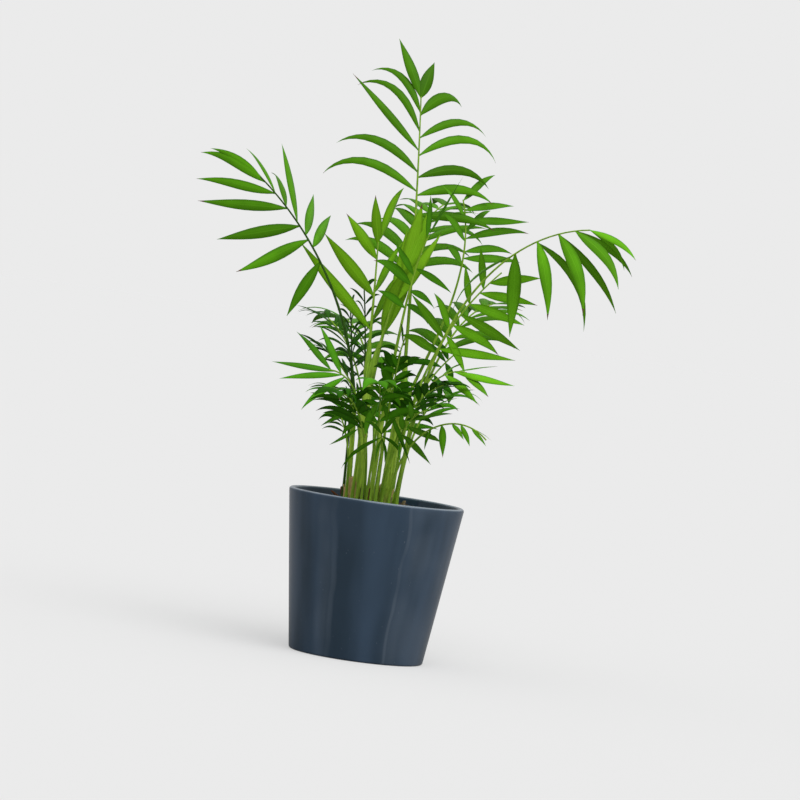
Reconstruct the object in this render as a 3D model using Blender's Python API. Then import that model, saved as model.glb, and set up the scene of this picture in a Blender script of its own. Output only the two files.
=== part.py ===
"""A parlour palm in a glazed pot: the pot, its root ball, a clump of canes and arching fronds.

Metres, +Z up. The origin is the centre of the pot's flat underside. +X is to the right in the
front view and +Y goes away from the viewer, so an azimuth of 0 degrees points right, 90 away
from the viewer, 180 left and 270 towards the viewer.
"""

import math
import random
from typing import NamedTuple

import bpy
from mathutils import Matrix, Vector
from mathutils.bvhtree import BVHTree

DOWN = Vector((0.0, 0.0, -1.0))

# Pot, turned about Z
POT_HEIGHT = 0.133
POT_RIM_RADIUS = 0.0735
POT_BASE_RADIUS = 0.0560
POT_WALL = 0.0045
POT_FLOOR = 0.0070
LIP_RADIUS = POT_WALL / 2
FOOT_EDGE = 0.0020
EDGE_STEPS = 2
TURNED_SIDES = 40

# Root ball, turned about Z: flat round the canes, then falling away to the pot's wall
MIX_TOP = POT_HEIGHT - 0.0050
MIX_FLAT_RADIUS = 0.034
MIX_DROP = 0.0100
MIX_SHOULDER_STEPS = 3
MIX_CLEAR = 0.0006
MIX_SIDES = 28

# Spacing of solids that rest on or face each other, and the room kept between crossing leaflets
SEAT_GAP = 0.0003
CROSSING_ROOM = 0.0009

# Limbs
CANE_SIDES = 10
CANE_RINGS = ((0.0, 1.14), (0.06, 1.05), (0.20, 1.0), (1.0, 1.0))
STALK_SIDES = 5
RACHIS_SIDES = 4
STEPS_PER_SPINE = 48
STALK_STEPS = 8
WHOLE_STEPS = 10
RACHIS_TIP_RADIUS = 0.0006

# Leaflets
LEAFLET_SUNK = 0.0001
LEAFLET_THICKNESS_SHARE = 0.014
LEAFLET_BENDS = 16
ROOT_WIDTH_SHARE = 0.14
ROOT_DEPTH_SHARE = 0.35
COARSE_BANDS = ((0.0, ROOT_WIDTH_SHARE), (0.45, 1.0))
FINE_LEAFLET_FROM = 0.070
FINE_BANDS = ((0.0, ROOT_WIDTH_SHARE), (0.30, 0.96), (0.68, 0.76))
END_LEAFLET_WIDER = 1.35
FOOT_SHORTER = 0.12
TIP_SHORTER = 0.34
FIRST_PAIR = 0.050
PAIR_OFFSET = 0.012
JITTER_ANGLE = 11.0
JITTER_LENGTH = 0.16
JITTER_DROOP = 22.0
TRIED_RISES = (0.0, 7.0, -7.0, 14.0, -14.0, 22.0, -22.0, 30.0, -30.0)
TRIED_AZIMUTHS = (0.0, 3.0, -3.0, 6.0, -6.0, 10.0, -10.0, 15.0, -15.0)

GREEN_DARK = (0.035, 0.130, 0.018)
GREEN_MID = (0.070, 0.250, 0.015)
GREEN_YOUNG = (0.160, 0.390, 0.030)
CANE_GREEN = (0.170, 0.290, 0.055)
GLAZE_SLATE = (0.030, 0.050, 0.075)
MIX_BROWN = (0.070, 0.042, 0.026)


class Cane(NamedTuple):
    """A clump's stem, from a flat cut at the potting mix to the fork where its stalks leave."""

    name: str
    foot: tuple
    height: float
    foot_radius: float
    top_radius: float
    azimuth: float = 0.0
    lean: float = 0.0


class Frond(NamedTuple):
    """A frond: its spine is an arc that leans further out the further it goes."""

    name: str
    grows_from: str
    offset: tuple
    azimuth: float
    lean_foot: float
    lean_tip: float
    length: float
    bare: float
    pairs: int
    leaflet: float
    width: float
    bend: float = 1.6
    turn: float = 0.0
    roll: float = 0.0
    angle_foot: float = 62.0
    angle_tip: float = 30.0
    rise: float = 12.0
    droop: float = 45.0
    foot_radius: float = 0.0017
    seed: int = 1
    colour: str = "leaf_mid"
    whole: bool = False


class Carried(NamedTuple):
    """How a leaflet that shows clearly is carried: its place is a share of the rachis."""

    side: int
    place: float
    angle: float
    rise: float
    droop: float
    length: float
    width: float


class Station(NamedTuple):
    """A point of a spine with its own axes: along the spine, to its left, and out of its face."""

    point: Vector
    along: Vector
    side: Vector
    face: Vector


CANES = (
    Cane("cane_left", (-0.0245, 0.008), 0.055, 0.0026, 0.0022, 180, 3),
    Cane("cane_main", (-0.0165, -0.002), 0.105, 0.0044, 0.0037, 180, 2),
    Cane("cane_middle", (-0.0055, -0.0095), 0.085, 0.0021, 0.0019, 290, 3),
    Cane("cane_right", (0.0062, -0.001), 0.095, 0.0050, 0.0037, 2, 2.5),
    Cane("cane_back", (0.0050, 0.026), 0.070, 0.0040, 0.0030, 70, 5),
    Cane("cane_rear", (-0.0160, 0.022), 0.062, 0.0036, 0.0028, 115, 6),
)

FRONDS = (
    Frond("left", "cane_left", (0.0, 0.0), 200, 2.8, 56, 0.237, 0.61, 7, 0.079, 0.0105, bend=0.93,
          turn=9, roll=-70, angle_foot=108, angle_tip=12, rise=-25, droop=17),
    Frond("top", "cane_right", (-0.001, 0.001), 110, 9.2, 17, 0.252, 0.56, 7, 0.089, 0.0088,
          bend=1.4, roll=-5, angle_foot=76, angle_tip=12, rise=-8, droop=68, seed=2),
    Frond("right", "mix", (0.015, -0.0085), 341, 4.4, 85, 0.306, 0.75, 6, 0.083, 0.0115,
          bend=2.15, roll=0, angle_foot=117, angle_tip=24, rise=-45, droop=45, seed=3),
    Frond("right_low", "mix", (0.012, 0.01), 10, 0.1, 44, 0.22, 0.59, 8, 0.058, 0.009, bend=1.37,
          roll=-66, angle_foot=90, angle_tip=42, rise=-16, droop=3, seed=4),
    Frond("young", "cane_main", (-0.0022, 0.0015), 120, 3.9, 7, 0.11, 0.22, 5, 0.075, 0.011,
          bend=0.76, roll=-2, angle_foot=61, angle_tip=19, rise=-29, droop=9, seed=7,
          colour="leaf_young"),
    Frond("spear", "cane_main", (0.0022, -0.0015), 350, 7, 16, 0.085, 0.35, 3, 0.082, 0.0100,
          roll=-82, angle_foot=13, angle_tip=9, rise=0, droop=3, seed=8, colour="leaf_young",
          whole=True),
    Frond("back_right", "cane_back", (0.001, 0.0), 43, 22.4, -20, 0.197, 0.6, 8, 0.055, 0.0075,
          bend=2.35, turn=-60, roll=-20, angle_foot=71, angle_tip=33, rise=5, droop=44, seed=5,
          colour="leaf_dark"),
    Frond("middle", "cane_middle", (0.0, 0.0), 351, 4.1, 20, 0.142, 0.5, 6, 0.045, 0.008,
          bend=4.0, roll=-20, angle_foot=58, angle_tip=37, rise=7, droop=54, seed=9,
          colour="leaf_dark"),
    Frond("back", "cane_rear", (0.0, 0.0), 72, 8, 76, 0.25, 0.55, 8, 0.068, 0.01, bend=1.5,
          droop=50, seed=14),
    Frond("back_low", "mix", (-0.004, 0.028), 112, 12, 92, 0.215, 0.58, 7, 0.055, 0.009, droop=55,
          seed=15),
    Frond("back_wide", "mix", (0.015, 0.022), 60, 8, 82, 0.230, 0.6, 7, 0.058, 0.0095, bend=1.7,
          droop=50, seed=16),
    Frond("low_left", "mix", (-0.0205, -0.011), 190, 0.2, 110, 0.124, 0.85, 3, 0.061, 0.0062,
          bend=4.0, roll=-60, angle_foot=35, angle_tip=34, rise=5, droop=22, seed=17,
          colour="leaf_dark", whole=True, foot_radius=0.0013),
    Frond("fine_left", "mix", (-0.0285, 0.0155), 160, 2, 12, 0.157, 0.55, 8, 0.036, 0.0026,
          angle_foot=58, angle_tip=40, rise=5, droop=55, seed=10, colour="leaf_dark", whole=True,
          foot_radius=0.0012),
    Frond("fine_middle", "mix", (-0.0175, 0.01), 140, 3, 14, 0.175, 0.6, 7, 0.034, 0.0026,
          angle_foot=58, angle_tip=40, rise=5, droop=55, seed=18, colour="leaf_dark", whole=True,
          foot_radius=0.0012),
    Frond("low_right", "mix", (0.0165, -0.014), 345, 0.9, 103, 0.14, 0.83, 4, 0.045, 0.0085,
          bend=3.62, roll=20, angle_foot=69, angle_tip=20, rise=-12, droop=23, seed=11,
          whole=True, foot_radius=0.0012),
    Frond("arch_right", "mix", (0.01, -0.018), 327, 2, 130, 0.136, 0.47, 6, 0.027, 0.0065,
          bend=1.43, roll=10, angle_foot=74, angle_tip=20, rise=-20, droop=56, seed=12,
          whole=True, foot_radius=0.0012),
    Frond("front", "mix", (-0.0085, -0.0175), 275, 3, 78, 0.122, 0.66, 5, 0.046, 0.011, bend=2.0,
          droop=80, seed=13, colour="leaf_dark", whole=True, foot_radius=0.0012),
    Frond("front_right", "mix", (0.004, -0.0175), 300, 6, 80, 0.104, 0.55, 5, 0.046, 0.0075,
          bend=1.8, droop=65, seed=19, colour="leaf_dark", whole=True, foot_radius=0.0011),
    Frond("front_left", "mix", (-0.0255, -0.007), 200, 1, 34, 0.076, 0.55, 5, 0.028, 0.0052,
          droop=45, seed=20, colour="leaf_dark", whole=True, foot_radius=0.0011),
    Frond("dark_right", "mix", (0.0035, 0.013), 30, 4, 50, 0.15, 0.52, 8, 0.042, 0.0066, bend=1.4,
          roll=40, droop=35, seed=21, colour="leaf_dark", whole=True, foot_radius=0.0013),
    Frond("dark_middle", "mix", (-0.0065, 0.0035), 345, 1, 14, 0.150, 0.50, 7, 0.042, 0.0064,
          bend=1.8, droop=50, seed=22, colour="leaf_dark", whole=True, foot_radius=0.0012),
    Frond("rear_left", "mix", (-0.024, 0.024), 114, 6, 88, 0.120, 0.52, 6, 0.040, 0.0068,
          droop=50, seed=23, colour="leaf_dark", whole=True, foot_radius=0.0014),
    Frond("rear_right", "mix", (0.0165, 0.0165), 55, 5, 90, 0.125, 0.58, 6, 0.040, 0.0070,
          bend=2.0, droop=50, seed=24, colour="leaf_dark", whole=True, foot_radius=0.0014),
    Frond("rear", "mix", (-0.002, 0.034), 88, 10, 95, 0.12, 0.5, 6, 0.046, 0.0085, bend=1.5,
          droop=55, seed=25, colour="leaf_dark", whole=True, foot_radius=0.0014),
    Frond("dark_left", "mix", (-0.0105, 0.0155), 172, 3, 62, 0.138, 0.52, 7, 0.038, 0.0056,
          bend=1.8, droop=45, seed=26, colour="leaf_dark", whole=True, foot_radius=0.0012),
    Frond("dark_front", "mix", (-0.0010, -0.0265), 265, 2, 62, 0.066, 0.50, 5, 0.042, 0.0072,
          bend=2.0, droop=70, seed=27, colour="leaf_dark", whole=True, foot_radius=0.0011),
    Frond("low_front", "mix", (-0.0165, -0.0185), 238, 3, 80, 0.106, 0.58, 5, 0.042, 0.0066,
          bend=2.0, droop=60, seed=28, colour="leaf_dark", whole=True, foot_radius=0.0011),
    Frond("front_high", "mix", (-0.0010, -0.0160), 276, 3, 50, 0.138, 0.58, 7, 0.040, 0.0056,
          bend=2.0, droop=60, seed=29, colour="leaf_dark", whole=True, foot_radius=0.0011),
    Frond("thick_left", "mix", (-0.0125, -0.0240), 222, 2, 84, 0.112, 0.54, 8, 0.040, 0.0066,
          bend=1.8, droop=60, seed=31, colour="leaf_dark", whole=True, foot_radius=0.0010),
    Frond("thick_middle", "mix", (-0.0052, -0.0240), 264, 2, 84, 0.128, 0.52, 8, 0.042, 0.0076,
          bend=1.8, droop=65, seed=32, colour="leaf_dark", whole=True, foot_radius=0.0010),
    Frond("thick_right", "mix", (0.0035, -0.0118), 316, 3, 72, 0.126, 0.56, 8, 0.038, 0.0062,
          bend=1.8, droop=55, seed=33, colour="leaf_dark", whole=True, foot_radius=0.0010),
    Frond("thick_high", "mix", (-0.0002, -0.0066), 262, 1, 24, 0.116, 0.60, 7, 0.030, 0.0060,
          bend=1.8, droop=60, seed=34, colour="leaf_dark", whole=True, foot_radius=0.0010),
    Frond("left_high", "mix", (-0.0130, 0.0300), 135, 4, 66, 0.170, 0.60, 8, 0.042, 0.0042,
          bend=1.8, droop=45, seed=30, colour="leaf_dark", whole=True, foot_radius=0.0012),
)

CARRIED = {
    "left": (
        Carried(1, 0.03, 118, -25, 2, 0.053, 0.0100),
        Carried(1, 0.26, 78, -24, 2, 0.068, 0.0105),
        Carried(1, 0.41, 61, -25, 2, 0.073, 0.0105),
        Carried(1, 0.61, 44, -25, 2, 0.079, 0.0090),
        Carried(1, 0.79, 35, -25, 3, 0.071, 0.0080),
        Carried(1, 0.93, 11, -24, 24, 0.064, 0.0085),
        Carried(1, 1.00, 2, -22, 32, 0.052, 0.0062),
        Carried(-1, 0.18, 87, -26, 12, 0.072, 0.0105),
        Carried(-1, 0.31, 80, -28, 9, 0.069, 0.0110),
        Carried(-1, 0.45, 54, -24, 9, 0.081, 0.0100),
        Carried(-1, 0.63, 59, -25, 45, 0.049, 0.0105),
        Carried(-1, 0.79, 47, -29, 28, 0.052, 0.0075),
    ),
    "top": (
        Carried(1, 0.25, 54, -8, 73, 0.088, 0.0080),
        Carried(1, 0.40, 43, -11, 74, 0.081, 0.0080),
        Carried(1, 0.57, 42, -8, 3, 0.086, 0.0072),
        Carried(1, 0.72, 23, -8, 80, 0.078, 0.0068),
        Carried(1, 0.87, 20, -9, 77, 0.066, 0.0068),
        Carried(1, 0.99, 17, -8, 12, 0.056, 0.0090),
        Carried(-1, 0.07, 84, -9, 20, 0.076, 0.0085),
        Carried(-1, 0.22, 66, -10, 53, 0.080, 0.0088),
        Carried(-1, 0.36, 63, -12, 62, 0.078, 0.0088),
        Carried(-1, 0.53, 50, -10, 88, 0.094, 0.0078),
        Carried(-1, 0.67, 51, -12, 69, 0.078, 0.0072),
        Carried(-1, 0.85, 36, -15, 87, 0.061, 0.0100),
        Carried(-1, 0.99, 18, -9, 5, 0.036, 0.0110),
    ),
    "right": (
        Carried(1, 0.12, 124, -50, 40, 0.073, 0.0120),
        Carried(1, 0.39, 76, -30, 68, 0.104, 0.0072),
        Carried(1, 0.65, 73, -40, 24, 0.094, 0.0078),
        Carried(1, 0.84, 40, -43, 37, 0.062, 0.0082),
        Carried(1, 1.00, 37, -42, 55, 0.046, 0.0062),
        Carried(-1, 0.08, 125, -2, 56, 0.090, 0.0120),
        Carried(-1, 0.40, 85, -62, 37, 0.073, 0.0110),
        Carried(-1, 0.65, 66, -54, 41, 0.085, 0.0110),
        Carried(-1, 0.84, 47, -44, 32, 0.079, 0.0098),
        Carried(-1, 1.00, 23, -43, 30, 0.053, 0.0070),
    ),
    "young": (
        Carried(1, 0.14, 43, -29, 2, 0.095, 0.0100),
        Carried(1, 0.47, 42, -29, 2, 0.067, 0.0112),
        Carried(1, 0.83, 37, -30, 2, 0.046, 0.0095),
        Carried(1, 0.97, 6, -29, 3, 0.042, 0.0088),
        Carried(-1, 0.22, 40, -30, 8, 0.070, 0.0095),
        Carried(-1, 0.50, 37, -30, 3, 0.061, 0.0095),
        Carried(-1, 1.00, 29, -31, 18, 0.064, 0.0110),
    ),
    "right_low": (
        Carried(1, 0.07, 67, -16, 3, 0.069, 0.0078),
        Carried(1, 0.22, 112, -16, 17, 0.037, 0.0070),
        Carried(1, 0.33, 79, -16, 18, 0.048, 0.0088),
        Carried(1, 0.45, 77, -16, 11, 0.061, 0.0088),
        Carried(1, 0.58, 67, -15, 5, 0.052, 0.0088),
        Carried(1, 0.72, 56, -16, 3, 0.052, 0.0082),
        Carried(1, 0.85, 36, -16, 3, 0.045, 0.0088),
        Carried(-1, 0.03, 88, -17, 17, 0.055, 0.0080),
        Carried(-1, 0.18, 76, -15, 7, 0.067, 0.0080),
        Carried(-1, 0.28, 69, -17, 9, 0.048, 0.0072),
        Carried(-1, 0.58, 62, -17, 5, 0.044, 0.0075),
        Carried(-1, 0.77, 65, -18, 5, 0.046, 0.0075),
    ),
    "back_right": (
        Carried(1, 0.37, 85, -19, 4, 0.076, 0.0072),
        Carried(1, 0.44, 79, -13, 20, 0.071, 0.0068),
        Carried(1, 0.58, 74, -18, 25, 0.080, 0.0070),
        Carried(1, 0.66, 64, 3, 14, 0.056, 0.0066),
        Carried(1, 0.77, 89, -17, 5, 0.074, 0.0068),
        Carried(1, 0.88, 80, -11, 20, 0.064, 0.0066),
        Carried(1, 0.99, 62, -20, 14, 0.054, 0.0066),
        Carried(-1, 0.30, 62, 4, 30, 0.042, 0.0075),
        Carried(-1, 0.55, 50, 8, 24, 0.044, 0.0072),
        Carried(-1, 0.80, 40, 2, 20, 0.042, 0.0070),
        Carried(-1, 1.00, 18, 5, 12, 0.038, 0.0070),
    ),
    "middle": (
        Carried(1, 0.15, 95, 2, 27, 0.049, 0.0060),
        Carried(1, 0.31, 90, 1, 29, 0.051, 0.0060),
        Carried(1, 0.58, 97, -2, 15, 0.050, 0.0060),
        Carried(1, 0.70, 57, 12, 4, 0.038, 0.0062),
        Carried(1, 1.00, 3, 5, 4, 0.056, 0.0066),
        Carried(-1, 0.10, 68, 6, 25, 0.047, 0.0065),
        Carried(-1, 0.38, 66, 13, 29, 0.055, 0.0092),
        Carried(-1, 0.50, 60, 3, 8, 0.048, 0.0068),
        Carried(-1, 0.95, 34, 5, 14, 0.044, 0.0075),
    ),
    "low_left": (
        Carried(1, 0.02, 70, 3, 12, 0.055, 0.0060),
        Carried(1, 0.16, 39, 14, 11, 0.063, 0.0062),
        Carried(1, 0.49, 9, 5, 3, 0.055, 0.0060),
        Carried(-1, 0.23, 42, 5, 4, 0.046, 0.0068),
        Carried(-1, 0.73, 50, 2, 3, 0.044, 0.0058),
    ),
    "low_right": (
        Carried(1, 0.10, 73, -4, 20, 0.044, 0.0078),
        Carried(1, 0.57, 48, -12, 4, 0.044, 0.0080),
        Carried(-1, 0.20, 59, -21, 15, 0.057, 0.0072),
        Carried(-1, 0.55, 26, -13, 4, 0.062, 0.0082),
        Carried(-1, 0.88, 43, -5, 4, 0.044, 0.0078),
    ),
    "arch_right": (
        Carried(1, 0.09, 94, -20, 4, 0.025, 0.0052),
        Carried(-1, 0.20, 95, -27, 66, 0.022, 0.0052),
        Carried(-1, 0.35, 68, -36, 24, 0.039, 0.0068),
        Carried(-1, 0.49, 41, -23, 13, 0.031, 0.0042),
        Carried(-1, 0.61, 44, -24, 4, 0.034, 0.0045),
        Carried(-1, 0.76, 22, -20, 4, 0.026, 0.0038),
        Carried(1, 0.70, 40, -20, 20, 0.024, 0.0042),
    ),
    "front": (
        Carried(1, 0.26, 125, -49, 43, 0.019, 0.0060),
        Carried(1, 0.53, 125, 21, 60, 0.025, 0.0060),
        Carried(-1, 0.15, 88, 15, 67, 0.023, 0.0060),
        Carried(-1, 0.29, 125, -38, 75, 0.035, 0.0105),
        Carried(-1, 0.60, 60, -76, 16, 0.043, 0.0090),
        Carried(-1, 0.61, 52, -21, 42, 0.050, 0.0050),
    ),
    "front_right": (
        Carried(1, 0.14, 120, 7, 16, 0.053, 0.0055),
        Carried(1, 0.35, 114, 6, 0, 0.050, 0.0065),
        Carried(1, 0.48, 57, 8, 20, 0.036, 0.0060),
        Carried(1, 0.89, 66, 31, 16, 0.033, 0.0050),
        Carried(-1, 0.00, 78, -65, 0, 0.053, 0.0050),
        Carried(-1, 0.24, 33, 3, 0, 0.020, 0.0055),
        Carried(-1, 0.56, 34, -3, 0, 0.033, 0.0055),
    ),
    "dark_front": (
        Carried(1, 0.83, 125, -50, 57, 0.021, 0.0060),
        Carried(1, 0.92, 114, 10, 62, 0.025, 0.0050),
        Carried(1, 1.00, 16, 16, 29, 0.049, 0.0050),
        Carried(-1, 0.79, 125, -61, 64, 0.020, 0.0060),
        Carried(-1, 0.87, 125, -11, 36, 0.047, 0.0050),
        Carried(-1, 1.00, 20, 6, 37, 0.039, 0.0050),
    ),
    "low_front": (
        Carried(1, 0.21, 125, 2, 43, 0.016, 0.0055),
        Carried(1, 0.39, 46, -7, 46, 0.033, 0.0055),
        Carried(1, 0.56, 13, 8, 5, 0.028, 0.0045),
        Carried(-1, 0.00, 122, 9, 0, 0.044, 0.0030),
        Carried(-1, 0.12, 109, -8, 59, 0.020, 0.0045),
        Carried(-1, 0.41, 117, 2, 12, 0.047, 0.0045),
        Carried(-1, 0.54, 105, 19, 13, 0.039, 0.0045),
    ),
    "front_high": (
        Carried(1, 0.00, 125, -60, 4, 0.052, 0.0065),
        Carried(1, 0.18, 125, 38, 87, 0.032, 0.0060),
        Carried(1, 0.48, 42, 7, 22, 0.017, 0.0050),
        Carried(-1, 0.02, 99, 15, 39, 0.021, 0.0060),
        Carried(-1, 0.18, 67, 11, 0, 0.020, 0.0070),
        Carried(-1, 0.34, 34, 9, 0, 0.024, 0.0080),
        Carried(-1, 0.58, 45, -12, 74, 0.020, 0.0050),
        Carried(-1, 0.69, 21, 15, 27, 0.018, 0.0050),
    ),
    "dark_middle": (
        Carried(1, 0.25, 87, -6, 20, 0.046, 0.0050),
        Carried(1, 0.56, 79, -8, 2, 0.048, 0.0050),
        Carried(1, 0.77, 83, 3, 42, 0.050, 0.0030),
        Carried(-1, 0.36, 86, 5, 27, 0.041, 0.0050),
        Carried(-1, 0.47, 72, 8, 0, 0.040, 0.0040),
        Carried(-1, 0.65, 101, 4, 23, 0.033, 0.0040),
        Carried(-1, 0.70, 81, 8, 32, 0.041, 0.0035),
        Carried(-1, 0.80, 61, 4, 12, 0.043, 0.0035),
    ),
    "dark_right": (
        Carried(1, 0.45, 125, -38, 28, 0.029, 0.0080),
        Carried(1, 0.58, 125, -32, 32, 0.036, 0.0080),
        Carried(1, 0.69, 106, 6, 58, 0.036, 0.0060),
        Carried(1, 0.77, 79, 16, 24, 0.029, 0.0050),
        Carried(1, 0.81, 62, 7, 30, 0.022, 0.0050),
        Carried(-1, 0.27, 124, 5, 55, 0.019, 0.0060),
        Carried(-1, 0.37, 115, 5, 48, 0.022, 0.0060),
        Carried(-1, 0.49, 85, 12, 32, 0.028, 0.0060),
        Carried(-1, 0.56, 118, 0, 54, 0.025, 0.0060),
        Carried(-1, 0.76, 108, -2, 60, 0.022, 0.0055),
    ),
    "front_left": (
        Carried(1, 0.47, 32, 11, 29, 0.022, 0.0030),
        Carried(-1, 0.39, 73, -7, 35, 0.039, 0.0025),
        Carried(-1, 0.53, 74, 1, 36, 0.034, 0.0025),
        Carried(-1, 0.64, 69, -5, 46, 0.040, 0.0028),
        Carried(-1, 0.74, 64, 7, 36, 0.034, 0.0026),
    ),
}


def heading(azimuth):
    """The level direction of an azimuth in degrees."""
    turned = math.radians(azimuth)
    return Vector((math.cos(turned), math.sin(turned), 0.0))


def leaning(azimuth, lean):
    """The direction that leans from upright by lean degrees towards an azimuth."""
    tipped = math.radians(lean)
    return heading(azimuth) * math.sin(tipped) + Vector((0.0, 0.0, math.cos(tipped)))


def turned_about(vector, axis, degrees):
    return Matrix.Rotation(math.radians(degrees), 3, axis) @ vector


def cane_foot(cane):
    return Vector((*cane.foot, MIX_TOP + SEAT_GAP))


def cane_top(cane):
    return cane_foot(cane) + leaning(cane.azimuth, cane.lean) * cane.height


def frond_foot(frond):
    """Where a stalk starts: just clear of the top of its cane, or of the potting mix."""
    clear = SEAT_GAP + frond.foot_radius * math.sin(math.radians(frond.lean_foot))
    canes = {cane.name: cane for cane in CANES}
    if frond.grows_from in canes:
        cane = canes[frond.grows_from]
        tilt = cane.top_radius * math.sin(math.radians(cane.lean))
        return cane_top(cane) + Vector((*frond.offset, clear + tilt))
    return Vector((*frond.offset, MIX_TOP + clear))


def spine(frond):
    """The stations of a frond's spine, evenly spaced from its foot to its tip."""
    point = frond_foot(frond)
    step = frond.length / STEPS_PER_SPINE
    stations = []
    for index in range(STEPS_PER_SPINE + 1):
        share = index / STEPS_PER_SPINE
        azimuth = frond.azimuth + frond.turn * share
        lean = frond.lean_foot + (frond.lean_tip - frond.lean_foot) * share**frond.bend
        along = leaning(azimuth, lean)
        side = turned_about(heading(azimuth + 90.0), along, frond.roll)
        stations.append(Station(point.copy(), along, side, along.cross(side)))
        point = point + along * step
    return stations


def station_at(stations, share):
    """The station at a share of the spine's length, between the two nearest ones."""
    place = min(max(share, 0.0), 1.0) * (len(stations) - 1)
    index = min(int(place), len(stations) - 2)
    first, second = stations[index], stations[index + 1]
    between = place - index
    return Station(
        first.point.lerp(second.point, between),
        first.along.lerp(second.along, between).normalized(),
        first.side.lerp(second.side, between).normalized(),
        first.face.lerp(second.face, between).normalized(),
    )


def spine_radius(frond, share):
    """The spine thins quickly up the stalk and slowly along the rachis."""
    return RACHIS_TIP_RADIUS + (frond.foot_radius - RACHIS_TIP_RADIUS) * (1.0 - share) ** 1.3


class Leaflet(NamedTuple):
    """Where a leaflet leaves the rachis and how it is carried."""

    root: Station
    side: int
    angle: float
    rise: float
    droop: float
    length: float
    width: float


def leaflets(frond):
    """The leaflets of a frond: as they show, or in pairs from the lowest to the last."""
    rng = random.Random(frond.seed)
    stations = spine(frond)
    found = []
    for one in CARRIED.get(frond.name, ()):
        place = frond.bare + (1.0 - frond.bare) * one.place
        found.append(Leaflet(station_at(stations, place), one.side, *one[2:]))
    if found:
        return found
    for pair in range(frond.pairs):
        share = pair / max(frond.pairs - 1, 1)
        last = pair == frond.pairs - 1
        for side in (1, -1):
            along_rachis = 1.0 if last else FIRST_PAIR + (1.0 - FIRST_PAIR) * share + PAIR_OFFSET * side
            place = frond.bare + (1.0 - frond.bare) * along_rachis
            shorter = FOOT_SHORTER * (1.0 - share) ** 2 + TIP_SHORTER * share**2
            found.append(
                Leaflet(
                    station_at(stations, place),
                    side,
                    frond.angle_foot
                    + (frond.angle_tip - frond.angle_foot) * share
                    + rng.uniform(-JITTER_ANGLE, JITTER_ANGLE),
                    frond.rise + rng.uniform(-JITTER_ANGLE, JITTER_ANGLE),
                    frond.droop + rng.uniform(-JITTER_DROOP, JITTER_DROOP),
                    frond.leaflet * (1.0 - shorter) * rng.uniform(1 - JITTER_LENGTH, 1 + JITTER_LENGTH),
                    frond.width * (END_LEAFLET_WIDER if last else 1.0),
                )
            )
    return found


def leaflet_course(leaflet, more_rise=0.0):
    """Points along a leaflet's midrib with the direction of its width, as it droops to its tip."""
    root = leaflet.root
    angle, rise = math.radians(leaflet.angle), math.radians(leaflet.rise + more_rise)
    outward = root.side * (leaflet.side * math.cos(rise)) + root.face * math.sin(rise)
    along = (root.along * math.cos(angle) + outward * math.sin(angle)).normalized()
    across = (root.along - along * root.along.dot(along)).normalized() * leaflet.side
    point = root.point - along * LEAFLET_SUNK
    step = (leaflet.length + LEAFLET_SUNK) / LEAFLET_BENDS
    course = []
    for index in range(LEAFLET_BENDS + 1):
        course.append((point.copy(), along.copy(), across.copy()))
        axis = along.cross(DOWN)
        if axis.length > 1e-4:
            wanted = leaflet.droop * 2.0 * (index + 1) / LEAFLET_BENDS**2
            most = math.degrees(along.angle(DOWN)) * 0.5
            along = turned_about(along, axis.normalized(), min(wanted, most))
            across = turned_about(across, axis.normalized(), min(wanted, most))
        point = point + along * step
    return course


def loft(sections, tip=None):
    """Points and triangles of a closed solid through equal rings, ended by a cap or a tip."""
    count = len(sections[0])
    points = [point for section in sections for point in section]
    faces = []
    for row in range(len(sections) - 1):
        low, high = row * count, (row + 1) * count
        for index in range(count):
            after = (index + 1) % count
            faces.append((low + index, low + after, high + after))
            faces.append((low + index, high + after, high + index))
    last = (len(sections) - 1) * count
    faces += [(0, index + 1, index) for index in range(1, count - 1)]
    if tip is None:
        faces += [(last, last + index, last + index + 1) for index in range(1, count - 1)]
    else:
        points.append(tip)
        faces += [
            (last + index, last + (index + 1) % count, len(points) - 1) for index in range(count)
        ]
    return points, faces


def ring(centre, first_axis, second_axis, radius, sides):
    """A ring that runs from the first axis, which a flat faces, towards the second."""
    turns = [math.tau * (index - 0.5) / sides for index in range(sides)]
    return [
        centre + (first_axis * math.cos(turn) + second_axis * math.sin(turn)) * radius
        for turn in turns
    ]


def leaflet_solid(leaflet, more_rise, bands, room=0.0):
    """A thin blade, flat above and keeled below, from its sunk root to its pointed tip."""
    course = leaflet_course(leaflet, more_rise)
    depth = LEAFLET_THICKNESS_SHARE * leaflet.length
    sections = []
    for share, wide in bands:
        point, along, across = course[round(share * LEAFLET_BENDS)]
        half = leaflet.width * wide / 2 + room
        below = along.cross(across)
        keel = depth * (ROOT_DEPTH_SHARE if share == 0.0 else 1.0) + 2 * room
        lifted = point - below * room
        sections.append([lifted + across * half, lifted + below * keel, lifted - across * half])
    return loft(sections, course[-1][0])


def spine_solid(frond, start, end, sides, steps, room=0.0):
    """The tube of a frond's spine between two shares of its length."""
    stations = spine(frond)
    sections = []
    for index in range(steps + 1):
        share = start + (end - start) * index / steps
        at = station_at(stations, share)
        radius = spine_radius(frond, share) + room
        sections.append(ring(at.point, at.side, at.along.cross(at.side), radius, sides))
    return loft(sections)


def split_shares(frond):
    """The shares where a stalk ends and its blade starts, a seat gap apart."""
    half_gap = SEAT_GAP / frond.length / 2
    return frond.bare - half_gap, frond.bare + half_gap


def cane_solid(cane):
    """A tapering cane with a flared foot, cut level at the foot and square at the top."""
    foot, top = cane_foot(cane), cane_top(cane)
    across, away = Vector((1.0, 0.0, 0.0)), Vector((0.0, 1.0, 0.0))
    sections = []
    for share, wider in CANE_RINGS:
        radius = cane.foot_radius + (cane.top_radius - cane.foot_radius) * share
        sections.append(ring(foot.lerp(top, share), across, away, radius * wider, CANE_SIDES))
    return loft(sections)


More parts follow.
